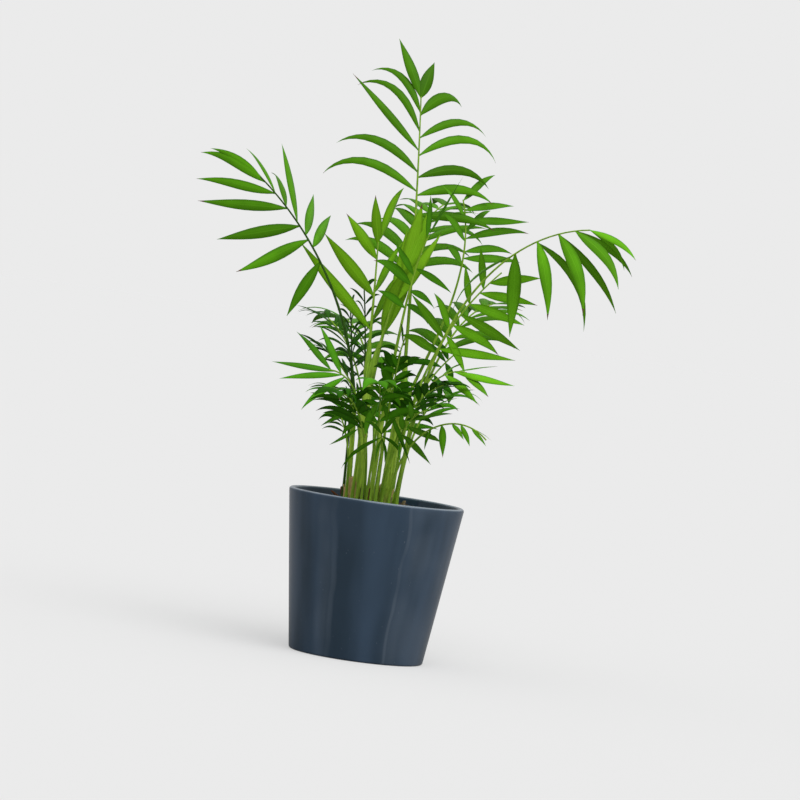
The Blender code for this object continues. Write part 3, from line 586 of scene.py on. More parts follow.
class GrowthTree:
    """A Geometry Nodes tree with named inputs, run over a mesh that it turns into another."""

    def __init__(self, name: str, inputs: dict[str, str]) -> None:
        """Makes the tree.

        Args:
            name: The tree's name.
            inputs: The kind of each input after the geometry, by its name.
        """
        self.group = bpy.data.node_groups.new(name, "GeometryNodeTree")
        self.graph = NodeGraph(self.group)
        face = self.group.interface
        face.new_socket(name="Geometry", in_out="INPUT", socket_type="NodeSocketGeometry")
        self.keys = {
            label: face.new_socket(name=label, in_out="INPUT", socket_type="NodeSocket" + kind).identifier
            for label, kind in inputs.items()
        }
        face.new_socket(name="Geometry", in_out="OUTPUT", socket_type="NodeSocketGeometry")
        self.given = self.graph.add("NodeGroupInput")

    def value(self, label: str) -> bpy.types.NodeSocket:
        """The socket that brings in a named input."""
        return self.given.outputs[label]

    def named(self, name: str, kind: str = "FLOAT") -> bpy.types.NodeSocket:
        """The value of a mesh's attribute."""
        return self.graph.add("GeometryNodeInputNamedAttribute", {"data_type": kind}, {"Name": name}).outputs[0]

    def dress(
        self,
        shape: bpy.types.NodeSocket,
        finishes: Sequence[tuple[str, Optional[Fed]]],
    ) -> None:
        """Ends the tree: real geometry, smooth, with a material for each choice of its faces.

        Args:
            shape: The geometry.
            finishes: Names of material inputs, each with what chooses its faces or None for all.
        """
        real = self.graph.add("GeometryNodeRealizeInstances", {}, {"Geometry": shape}).outputs[0]
        ended = self.graph.add("GeometryNodeSetShadeSmooth", {}, {"Geometry": real}).outputs[0]
        for label, chosen in finishes:
            inputs = {"Geometry": ended, "Material": self.value(label)}
            if chosen is not None:
                inputs["Selection"] = chosen
            ended = self.graph.add("GeometryNodeSetMaterial", {}, inputs).outputs[0]
        self.graph.add("NodeGroupOutput", {}, {0: ended})

    def run(self, name: str, source: bpy.types.Mesh, values: dict[str, object]) -> bpy.types.Object:
        """Grows a piece.

        Args:
            name: The piece's name.
            source: The mesh that the tree starts from.
            values: What each named input is given.

        Returns:
            The piece, a plain mesh with no modifier left.
        """
        piece = linked(name + "_source", source)
        modifier = piece.modifiers.new("Growth", "NODES")
        modifier.node_group = self.group
        for label, value in values.items():
            modifier[self.keys[label]] = value
        seen = piece.evaluated_get(bpy.context.evaluated_depsgraph_get())
        made = bpy.data.meshes.new_from_object(seen)
        piece.modifiers.remove(modifier)
        bpy.data.objects.remove(piece)
        for index in reversed(range(len(made.materials))):
            if made.materials[index] is None:
                made.materials.pop(index=index)
        made.set_sharp_from_angle(angle=math.radians(60.0))
        return linked(name, made)


class SweepTree(GrowthTree):
    """Sweeps a closed profile along each line of a mesh, by the lines' own widths and facing."""

    def __init__(self, name: str, tints: int, blades: bool) -> None:
        """Makes the tree.

        Args:
            name: The tree's name.
            tints: How many finishes the lines are dealt by their "tint" attribute.
            blades: Whether there are lower faces and dry tips with finishes of their own.
        """
        labels = {"Profile": "Object", "Width": "Float", "Dry Share": "Float"}
        for index in range(tints):
            labels[f"Finish {index}"] = "Material"
            if blades:
                labels[f"Under {index}"] = "Material"
        if blades:
            labels["Dry"] = "Material"
        super().__init__(name, labels)
        graph = self.graph
        line = graph.add("GeometryNodeMeshToCurve", {}, {"Mesh": self.value("Geometry")}).outputs[0]
        faced = graph.add(
            "GeometryNodeSetCurveNormal",
            {"mode": "FREE"},
            {"Curve": line, "Normal": self.named("facing", "FLOAT_VECTOR")},
        ).outputs[0]
        shown = graph.add("GeometryNodeObjectInfo", {}, {"Object": self.value("Profile")})
        profile = graph.add("GeometryNodeMeshToCurve", {}, {"Mesh": shown.outputs["Geometry"]}).outputs[0]
        width = Signal(graph, self.named("half_width")) * self.value("Width")
        swept = graph.add(
            "GeometryNodeCurveToMesh",
            {},
            {"Curve": faced, "Profile Curve": profile, "Scale": width, "Fill Caps": True},
        ).outputs[0]
        dealt = Signal(graph, self.named("tint"))
        finishes: list[tuple[str, Optional[Fed]]] = []
        for index in range(tints):
            mine = (dealt > (index - 0.5)) * (dealt < (index + 0.5))
            finishes.append((f"Finish {index}", mine))
            if blades:
                below = Signal(graph, self.named("upper")) < 0.45
                finishes.append((f"Under {index}", mine * below))
        if blades:
            along = Signal(graph, self.named("along"))
            dry_from = 1.0 - Signal(graph, self.named("dry")) * self.value("Dry Share")
            finishes.append(("Dry", along - dry_from > 0.0))
        self.dress(swept, finishes)


class ScatterTree(GrowthTree):
    """Scatters small turned copies of a crumb over a mesh's faces, by a seed."""

    def __init__(self, name: str) -> None:
        """Makes the tree."""
        super().__init__(name, {
            "Crumb": "Object",
            "Density": "Float",
            "Smallest": "Float",
            "Largest": "Float",
            "Tilt": "Float",
            "Sunk": "Float",
            "Seed": "Int",
            "Finish 0": "Material",
        })
        graph = self.graph
        spread = graph.add(
            "GeometryNodeDistributePointsOnFaces",
            {"distribute_method": "RANDOM"},
            {"Mesh": self.value("Geometry"), "Density": self.value("Density"), "Seed": self.value("Seed")},
        )
        tilt = self.value("Tilt")
        least = graph.add("ShaderNodeCombineXYZ", {}, {0: Signal(graph, tilt) * -1.0, 1: Signal(graph, tilt) * -1.0})
        most = graph.add("ShaderNodeCombineXYZ", {}, {0: tilt, 1: tilt, 2: math.tau})
        turn = graph.add(
            "FunctionNodeRandomValue",
            {"data_type": "FLOAT_VECTOR"},
            {"Min": least.outputs[0], "Max": most.outputs[0], "Seed": self.value("Seed")},
        ).outputs[0]
        rotation = graph.add("FunctionNodeEulerToRotation", {}, {"Euler": turn}).outputs[0]
        size = graph.add(
            "FunctionNodeRandomValue",
            {"data_type": "FLOAT"},
            {"Min_001": self.value("Smallest"), "Max_001": self.value("Largest"), "Seed": self.value("Seed")},
        ).outputs[1]
        lowered = graph.add("ShaderNodeCombineXYZ", {}, {2: Signal(graph, self.value("Sunk")) * -1.0})
        sunk = graph.add(
            "GeometryNodeSetPosition", {}, {"Geometry": spread.outputs[0], "Offset": lowered.outputs[0]}
        ).outputs[0]
        crumb = graph.add("GeometryNodeObjectInfo", {}, {"Object": self.value("Crumb"), "As Instance": True})
        placed = graph.add(
            "GeometryNodeInstanceOnPoints",
            {},
            {"Points": sunk, "Instance": crumb.outputs["Geometry"], "Rotation": rotation, "Scale": size},
        ).outputs[0]
        self.dress(placed, [("Finish 0", None)])


def profile_object(name: str, outline: Outline, **values: Sequence[float]) -> bpy.types.Object:
    """A closed outline of (out along the facing, across it) for a sweep, run anticlockwise."""
    builder = MeshBuilder(name)
    builder.line([Vector((out, across, 0.0)) for out, across in outline], closed=True, **values)
    return linked(name, builder.mesh())


# The palm's growth

@dataclass(frozen=True)
class Growth:
    """The sizes and shares of the rule that every cane and frond grows by."""

    pot_height: float = 0.133
    mix_below_rim: float = 0.0050
    seat_gap: float = 0.0003
    crossing_room: float = 0.0009
    spine_steps: int = 48
    stalk_sides: int = 5
    tip_radius: float = 0.0006
    sunk: float = 0.0001
    thickness_share: float = 0.014
    bends: int = 16
    root_width: float = 0.14
    root_depth: float = 0.35
    fine_from: float = 0.070
    end_wider: float = 1.35
    foot_shorter: float = 0.12
    tip_shorter: float = 0.34
    first_pair: float = 0.050
    pair_offset: float = 0.012
    jitter_angle: float = 11.0
    jitter_length: float = 0.16
    jitter_droop: float = 22.0
    tried_rises: tuple[float, ...] = (0.0, 7.0, -7.0, 14.0, -14.0, 22.0, -22.0, 30.0, -30.0)
    tried_azimuths: tuple[float, ...] = (0.0, 3.0, -3.0, 6.0, -6.0, 10.0, -10.0, 15.0, -15.0)
    coarse_bands: Outline = ((0.0, 0.14), (0.45, 1.0))
    fine_bands: Outline = ((0.0, 0.14), (0.30, 0.96), (0.68, 0.76))

    @property
    def mix_top(self) -> float:
        """The height of the potting mix round the canes."""
        return self.pot_height - self.mix_below_rim


GROWTH = Growth()


@dataclass(frozen=True)
class Station:
    """A point of a spine with its own axes: along the spine, to its left, and out of its face."""

    point: Vector
    along: Vector
    side: Vector
    face: Vector


@dataclass(frozen=True)
class Cane:
    """A clump's stem, from its foot in the potting mix to the fork where its stalks leave."""

    name: str
    foot_at: tuple[float, float]
    height: float
    foot_radius: float
    top_radius: float
    azimuth: float
    lean: float
    sides: int = 40
    rings: int = 90
    ring_gap: float = 0.0135
    wraps: int = 3

    def foot(self) -> Vector:
        """The middle of the foot."""
        return Vector((*self.foot_at, GROWTH.mix_top + GROWTH.seat_gap))

    def top(self) -> Vector:
        """The middle of the top."""
        return self.foot() + leaning(self.azimuth, self.lean) * self.height

    def solid(self) -> Solid:
        """The plain cane of ten sides that others keep clear of."""
        foot, top = self.foot(), self.top()
        across, away = Vector((1.0, 0.0, 0.0)), Vector((0.0, 1.0, 0.0))
        rows = []
        for share, wider in ((0.0, 1.14), (0.06, 1.05), (0.20, 1.0), (1.0, 1.0)):
            radius = (self.foot_radius + (self.top_radius - self.foot_radius) * share) * wider
            rows.append(ring(foot.lerp(top, share), across, away, radius, 10))
        return loft(rows)

    def relief(self, turn: float, share: float) -> float:
        """How much wider the skin stands there: wrapped leaf bases, their scars and fine ribs.

        Args:
            turn: The angle round the cane, in radians.
            share: The share of its height.

        Returns:
            The share of the radius that is added.
        """
        height = share * self.height
        step = height / self.ring_gap
        near = abs(step - round(step))
        scar = 0.055 * math.exp(-((near / 0.07) ** 2)) - 0.030 * math.exp(-(((near - 0.16) / 0.07) ** 2))
        wrapped = 0.0
        for wrap in range(self.wraps):
            seam = math.tau * (wrap / self.wraps + 0.13 * wrap) + 2.4 * share * (1 if wrap % 2 else -1)
            behind = (turn - seam) % math.tau
            wrapped += 0.075 * math.exp(-behind / 0.55)
        ribs = 0.012 * math.sin(13 * turn + 3 * share) + 0.008 * math.sin(29 * turn)
        fading = 1.0 - 0.5 * share
        return scar * fading + (wrapped - 0.04) * fading + ribs

    def build(self) -> bpy.types.Object:
        """The cane's mesh, closed at both ends."""
        foot, top = self.foot(), self.top()
        rows = []
        for row in range(self.rings + 1):
            share = row / self.rings
            flare = 1.0 + 0.13 * math.exp(-share * self.height / 0.0045)
            radius = (self.foot_radius + (self.top_radius - self.foot_radius) * share) * flare
            radius *= 1.0 - 0.10 * eased(share, 0.90, 1.0)
            centre = foot.lerp(top, share)
            turns = [math.tau * index / self.sides for index in range(self.sides)]
            rows.append([
                centre + Vector((math.cos(turn), math.sin(turn), 0.0)) * radius * (0.97 + self.relief(turn, share))
                for turn in turns
            ])
        builder = MeshBuilder(self.name + "_skin")
        builder.grid(rows)
        builder.cap(0, self.sides, foot, True)
        builder.cap(self.rings * self.sides, self.sides, top, False)
        skin = StalkFinish(
            "cane_skin", (0.470, 0.700, 0.075), 0.38, 0.12, (0.250, 0.440, 0.035), (0.500, 0.430, 0.150),
            GROWTH.mix_top,
        )
        return builder.piece(skin)


@dataclass(frozen=True)
class Leaflet:
    """Where a leaflet leaves the rachis and how it is carried."""

    root: Station
    side: int
    angle: float
    rise: float
    droop: float
    length: float
    width: float

    def course(self, more_rise: float = 0.0) -> list[tuple[Vector, Vector, Vector]]:
        """The midrib as it droops.

        Args:
            more_rise: Degrees by which the leaflet is lifted to keep clear of others.

        Returns:
            Points from root to tip, each with the way along and the way across.
        """
        root = self.root
        angle, rise = math.radians(self.angle), math.radians(self.rise + more_rise)
        outward = root.side * (self.side * math.cos(rise)) + root.face * math.sin(rise)
        along = (root.along * math.cos(angle) + outward * math.sin(angle)).normalized()
        across = (root.along - along * root.along.dot(along)).normalized() * self.side
        point = root.point - along * GROWTH.sunk
        step = (self.length + GROWTH.sunk) / GROWTH.bends
        found = []
        for index in range(GROWTH.bends + 1):
            found.append((point.copy(), along.copy(), across.copy()))
            axis = along.cross(DOWN)
            if axis.length > 1e-4:
                wanted = self.droop * 2.0 * (index + 1) / GROWTH.bends**2
                most = math.degrees(along.angle(DOWN)) * 0.5
                along = turned_about(along, axis.normalized(), min(wanted, most))
                across = turned_about(across, axis.normalized(), min(wanted, most))
            point = point + along * step
        return found

    def solid(self, more_rise: float, bands: Outline, room: float = 0.0) -> Solid:
        """The plain blade that others keep clear of, thickened by the room asked for."""
        course = self.course(more_rise)
        depth = GROWTH.thickness_share * self.length
        rows = []
        for share, wide in bands:
            point, along, across = course[round(share * GROWTH.bends)]
            half = self.width * wide / 2 + room
            below = along.cross(across)
            keel = depth * (GROWTH.root_depth if share == 0.0 else 1.0) + 2 * room
            lifted = point - below * room
            rows.append([lifted + across * half, lifted + below * keel, lifted - across * half])
        return loft(rows, course[-1][0])


class Carried(NamedTuple):
    """How a leaflet that shows clearly is carried: its place is a share of the rachis."""

    side: int
    place: float
    angle: float
    rise: float
    droop: float
    length: float
    width: float


@dataclass(frozen=True)
class Frond:
    """A frond: its spine is an arc that leans further out the further it goes."""

    name: str
    grows_from: str
    offset: tuple[float, float]
    azimuth: float
    lean_foot: float
    lean_tip: float
    length: float
    bare: float
    pairs: int
    leaflet: float
    width: float
    bend: float = 1.6
    turn: float = 0.0
    roll: float = 0.0
    angle_foot: float = 62.0
    angle_tip: float = 30.0
    rise: float = 12.0
    droop: float = 45.0
    foot_radius: float = 0.0017
    seed: int = 1
    kind: Kind = Kind.MID
    tint: Tint = Tint.LEFT
    whole: bool = False
    stalk: Finish = STALK_SKIN

    def nodes(self) -> list[str]:
        """The solids that the frond's blade stands for."""
        return ["frond_" + self.name if self.whole else f"frond_{self.name}_blade"]

    def stalk_nodes(self) -> list[str]:
        """The solids that the frond's bare stalk stands for."""
        return [] if self.whole else [f"frond_{self.name}_stalk"]

    def foot(self, canes: dict[str, Cane]) -> Vector:
        """Where the stalk starts: just clear of its cane's top, or of the potting mix."""
        clear = GROWTH.seat_gap + self.foot_radius * math.sin(math.radians(self.lean_foot))
        if self.grows_from in canes:
            cane = canes[self.grows_from]
            tilt = cane.top_radius * math.sin(math.radians(cane.lean))
            return cane.top() + Vector((*self.offset, clear + tilt))
        return Vector((*self.offset, GROWTH.mix_top + clear))

    def spine(self, canes: dict[str, Cane]) -> list[Station]:
        """The stations of the spine, evenly spaced from its foot to its tip."""
        point = self.foot(canes)
        step = self.length / GROWTH.spine_steps
        stations = []
        for index in range(GROWTH.spine_steps + 1):
            share = index / GROWTH.spine_steps
            azimuth = self.azimuth + self.turn * share
            lean = self.lean_foot + (self.lean_tip - self.lean_foot) * share**self.bend
            along = leaning(azimuth, lean)
            side = turned_about(heading(azimuth + 90.0), along, self.roll)
            stations.append(Station(point.copy(), along, side, along.cross(side)))
            point = point + along * step
        return stations

    def radius(self, share: float) -> float:
        """The spine's radius, which falls quickly up the stalk and slowly along the rachis."""
        return GROWTH.tip_radius + (self.foot_radius - GROWTH.tip_radius) * (1.0 - share) ** 1.3

    def leaflets(self, stations: Sequence[Station]) -> Iterator[Leaflet]:
        """The leaflets: as they show, or in pairs from the lowest to the last."""
        if self.name in CARRIED:
            for one in CARRIED[self.name]:
                place = self.bare + (1.0 - self.bare) * one.place
                yield Leaflet(station_at(stations, place), one.side, *one[2:])
            return
        rng = random.Random(self.seed)
        for pair in range(self.pairs):
            share = pair / max(self.pairs - 1, 1)
            last = pair == self.pairs - 1
            for side in (1, -1):
                first = GROWTH.first_pair
                upward = 1.0 if last else first + (1.0 - first) * share + GROWTH.pair_offset * side
                shorter = GROWTH.foot_shorter * (1.0 - share) ** 2 + GROWTH.tip_shorter * share**2
                yield Leaflet(
                    station_at(stations, self.bare + (1.0 - self.bare) * upward),
                    side,
                    self.angle_foot
                    + (self.angle_tip - self.angle_foot) * share
                    + rng.uniform(-GROWTH.jitter_angle, GROWTH.jitter_angle),
                    self.rise + rng.uniform(-GROWTH.jitter_angle, GROWTH.jitter_angle),
                    self.droop + rng.uniform(-GROWTH.jitter_droop, GROWTH.jitter_droop),
                    self.leaflet
                    * (1.0 - shorter)
                    * rng.uniform(1 - GROWTH.jitter_length, 1 + GROWTH.jitter_length),
                    self.width * (GROWTH.end_wider if last else 1.0),
                )

    def tube(self, stations: Sequence[Station], room: float = 0.0) -> Solid:
        """The plain tube of the whole spine that others keep clear of."""
        rows = []
        steps = GROWTH.spine_steps // 2
        for index in range(steps + 1):
            at = station_at(stations, index / steps)
            rows.append(ring(
                at.point, at.side, at.along.cross(at.side), self.radius(index / steps) + room, GROWTH.stalk_sides
            ))
        return loft(rows)


CANES = (
    Cane("cane_left", (-0.0245, 0.008), 0.055, 0.0026, 0.0022, 180, 3),
    Cane("cane_main", (-0.0165, -0.002), 0.105, 0.0044, 0.0037, 180, 2),
    Cane("cane_middle", (-0.0055, -0.0095), 0.085, 0.0021, 0.0019, 290, 3),
    Cane("cane_right", (0.0062, -0.001), 0.095, 0.0050, 0.0037, 2, 2.5),
    Cane("cane_back", (0.0050, 0.026), 0.070, 0.0040, 0.0030, 70, 5),
    Cane("cane_rear", (-0.0160, 0.022), 0.062, 0.0036, 0.0028, 115, 6),
)

FRONDS = (
    # The left frond's stalk takes DARK_STALK, painted shade for a stalk that stands in shadow.
    Frond("left", "cane_left", (0.0, 0.0), 200, 2.8, 56, 0.237, 0.61, 7, 0.079, 0.0105, bend=0.93,
          turn=9, roll=-70, angle_foot=108, angle_tip=12, rise=-25, droop=17, stalk=DARK_STALK),
    Frond("top", "cane_right", (-0.001, 0.001), 110, 9.2, 17, 0.252, 0.56, 7, 0.089, 0.0088,
          bend=1.4, roll=-5, angle_foot=76, angle_tip=12, rise=-8, droop=68, seed=2, tint=Tint.TOP),
    Frond("right", "mix", (0.015, -0.0085), 341, 4.4, 85, 0.306, 0.75, 6, 0.083, 0.0115, bend=2.15,
          roll=0, angle_foot=117, angle_tip=24, rise=-45, droop=45, seed=3, tint=Tint.BRIGHT),
    Frond("right_low", "mix", (0.012, 0.01), 10, 0.1, 44, 0.22, 0.59, 8, 0.058, 0.009, bend=1.37,
          roll=-66, angle_foot=90, angle_tip=42, rise=-16, droop=3, seed=4, tint=Tint.FRESH),
    Frond("young", "cane_main", (-0.0022, 0.0015), 120, 3.9, 7, 0.11, 0.22, 5, 0.075, 0.011,
          bend=0.76, roll=-2, angle_foot=61, angle_tip=19, rise=-29, droop=9, seed=7,
          kind=Kind.YOUNG, tint=Tint.YOUNG, stalk=PALE_STALK),
    Frond("spear", "cane_main", (0.0022, -0.0015), 350, 7, 16, 0.085, 0.35, 3, 0.082, 0.0100,
          roll=-82, angle_foot=13, angle_tip=9, rise=0, droop=3, seed=8, kind=Kind.YOUNG,
          whole=True, tint=Tint.PALE, stalk=PALE_STALK),
    Frond("back_right", "cane_back", (0.001, 0.0), 43, 22.4, -20, 0.197, 0.6, 8, 0.055, 0.0075,
          bend=2.35, turn=-60, roll=-20, angle_foot=71, angle_tip=33, rise=5, droop=44, seed=5,
          kind=Kind.DARK, tint=Tint.SOFT),
    Frond("middle", "cane_middle", (0.0, 0.0), 351, 4.1, 20, 0.142, 0.5, 6, 0.045, 0.008, bend=4.0,
          roll=-20, angle_foot=58, angle_tip=37, rise=7, droop=54, seed=9, kind=Kind.DARK,
          tint=Tint.SHADE),
    Frond("back", "cane_rear", (0.0, 0.0), 72, 8, 76, 0.25, 0.55, 8, 0.068, 0.01, bend=1.5,
          droop=50, seed=14, tint=Tint.TOP),
    Frond("back_low", "mix", (-0.004, 0.028), 112, 12, 92, 0.215, 0.58, 7, 0.055, 0.009, droop=55,
          seed=15),
    Frond("back_wide", "mix", (0.015, 0.022), 60, 8, 82, 0.230, 0.6, 7, 0.058, 0.0095, bend=1.7,
          droop=50, seed=16, tint=Tint.TOP),
    Frond("low_left", "mix", (-0.0205, -0.011), 190, 0.2, 110, 0.124, 0.85, 3, 0.061, 0.0062,
          bend=4.0, roll=-60, angle_foot=35, angle_tip=34, rise=5, droop=22, seed=17,
          kind=Kind.DARK, whole=True, foot_radius=0.0013, tint=Tint.SHADE),
    Frond("fine_left", "mix", (-0.0285, 0.0155), 160, 2, 12, 0.157, 0.55, 8, 0.036, 0.0026,
          angle_foot=58, angle_tip=40, rise=5, droop=55, seed=10, kind=Kind.DARK, whole=True,
          foot_radius=0.0012, tint=Tint.FINE, stalk=DARK_STALK),
    Frond("fine_middle", "mix", (-0.0175, 0.01), 140, 3, 14, 0.175, 0.6, 7, 0.034, 0.0026,
          angle_foot=58, angle_tip=40, rise=5, droop=55, seed=18, kind=Kind.DARK, whole=True,
          foot_radius=0.0012, tint=Tint.FINE, stalk=DARK_STALK),
    Frond("low_right", "mix", (0.0165, -0.014), 345, 0.9, 103, 0.14, 0.83, 4, 0.045, 0.0085,
          bend=3.62, roll=20, angle_foot=69, angle_tip=20, rise=-12, droop=23, seed=11, whole=True,
          foot_radius=0.0012, tint=Tint.FRESH),
    Frond("arch_right", "mix", (0.01, -0.018), 327, 2, 130, 0.136, 0.47, 6, 0.027, 0.0065,
          bend=1.43, roll=10, angle_foot=74, angle_tip=20, rise=-20, droop=56, seed=12, whole=True,
          foot_radius=0.0012),
    Frond("front", "mix", (-0.0085, -0.0175), 275, 3, 78, 0.122, 0.66, 5, 0.046, 0.011, bend=2.0,
          droop=80, seed=13, kind=Kind.DARK, whole=True, foot_radius=0.0012, tint=Tint.SOFT),
    Frond("front_right", "mix", (0.004, -0.0175), 300, 6, 80, 0.104, 0.55, 5, 0.046, 0.0075,
          bend=1.8, droop=65, seed=19, kind=Kind.DARK, whole=True, foot_radius=0.0011,
          tint=Tint.SOFT),
    Frond("front_left", "mix", (-0.0255, -0.007), 200, 1, 34, 0.076, 0.55, 5, 0.028, 0.0052,
          droop=45, seed=20, kind=Kind.DARK, whole=True, foot_radius=0.0011, tint=Tint.DEEP),
    Frond("dark_right", "mix", (0.0035, 0.013), 30, 4, 50, 0.15, 0.52, 8, 0.042, 0.0066, bend=1.4,
          roll=40, droop=35, seed=21, kind=Kind.DARK, whole=True, foot_radius=0.0013,
          tint=Tint.DEEP),
    Frond("dark_middle", "mix", (-0.0065, 0.0035), 345, 1, 14, 0.150, 0.50, 7, 0.042, 0.0064,
          bend=1.8, droop=50, seed=22, kind=Kind.DARK, whole=True, foot_radius=0.0012,
          tint=Tint.DEEP),
    Frond("rear_left", "mix", (-0.024, 0.024), 114, 6, 88, 0.120, 0.52, 6, 0.040, 0.0068, droop=50,
          seed=23, kind=Kind.DARK, whole=True, foot_radius=0.0014, tint=Tint.SHADE),
    Frond("rear_right", "mix", (0.0165, 0.0165), 55, 5, 90, 0.125, 0.58, 6, 0.040, 0.0070, bend=2.0,
          droop=50, seed=24, kind=Kind.DARK, whole=True, foot_radius=0.0014, tint=Tint.SHADE),
    Frond("rear", "mix", (-0.002, 0.034), 88, 10, 95, 0.12, 0.5, 6, 0.046, 0.0085, bend=1.5,
          droop=55, seed=25, kind=Kind.DARK, whole=True, foot_radius=0.0014, tint=Tint.SHADE),
    Frond("dark_left", "mix", (-0.0105, 0.0155), 172, 3, 62, 0.138, 0.52, 7, 0.038, 0.0056,
          bend=1.8, droop=45, seed=26, kind=Kind.DARK, whole=True, foot_radius=0.0012,
          tint=Tint.DEEP),
    Frond("dark_front", "mix", (-0.0010, -0.0265), 265, 2, 62, 0.066, 0.50, 5, 0.042, 0.0072,
          bend=2.0, droop=70, seed=27, kind=Kind.DARK, whole=True, foot_radius=0.0011,
          tint=Tint.SHADE),
    Frond("low_front", "mix", (-0.0165, -0.0185), 238, 3, 80, 0.106, 0.58, 5, 0.042, 0.0066,
          bend=2.0, droop=60, seed=28, kind=Kind.DARK, whole=True, foot_radius=0.0011,
          tint=Tint.SHADE),
    Frond("front_high", "mix", (-0.0010, -0.0160), 276, 3, 50, 0.138, 0.58, 7, 0.040, 0.0056,
          bend=2.0, droop=60, seed=29, kind=Kind.DARK, whole=True, foot_radius=0.0011,
          tint=Tint.SHADE),
    Frond("thick_left", "mix", (-0.0125, -0.0240), 222, 2, 84, 0.112, 0.54, 8, 0.040, 0.0066,
          bend=1.8, droop=60, seed=31, kind=Kind.DARK, whole=True, foot_radius=0.0010,
          tint=Tint.DEEP),
    Frond("thick_middle", "mix", (-0.0052, -0.0240), 264, 2, 84, 0.128, 0.52, 8, 0.042, 0.0076,
          bend=1.8, droop=65, seed=32, kind=Kind.DARK, whole=True, foot_radius=0.0010,
          tint=Tint.SHADE),
    Frond("thick_right", "mix", (0.0035, -0.0118), 316, 3, 72, 0.126, 0.56, 8, 0.038, 0.0062,
          bend=1.8, droop=55, seed=33, kind=Kind.DARK, whole=True, foot_radius=0.0010,
          tint=Tint.DEEP),
    Frond("thick_high", "mix", (-0.0002, -0.0066), 262, 1, 24, 0.116, 0.60, 7, 0.030, 0.0060,
          bend=1.8, droop=60, seed=34, kind=Kind.DARK, whole=True, foot_radius=0.0010,
          tint=Tint.DEEP),
    Frond("left_high", "mix", (-0.0130, 0.0300), 135, 4, 66, 0.170, 0.60, 8, 0.042, 0.0042,
          bend=1.8, droop=45, seed=30, kind=Kind.DARK, whole=True, foot_radius=0.0012,
          tint=Tint.FINE),
)

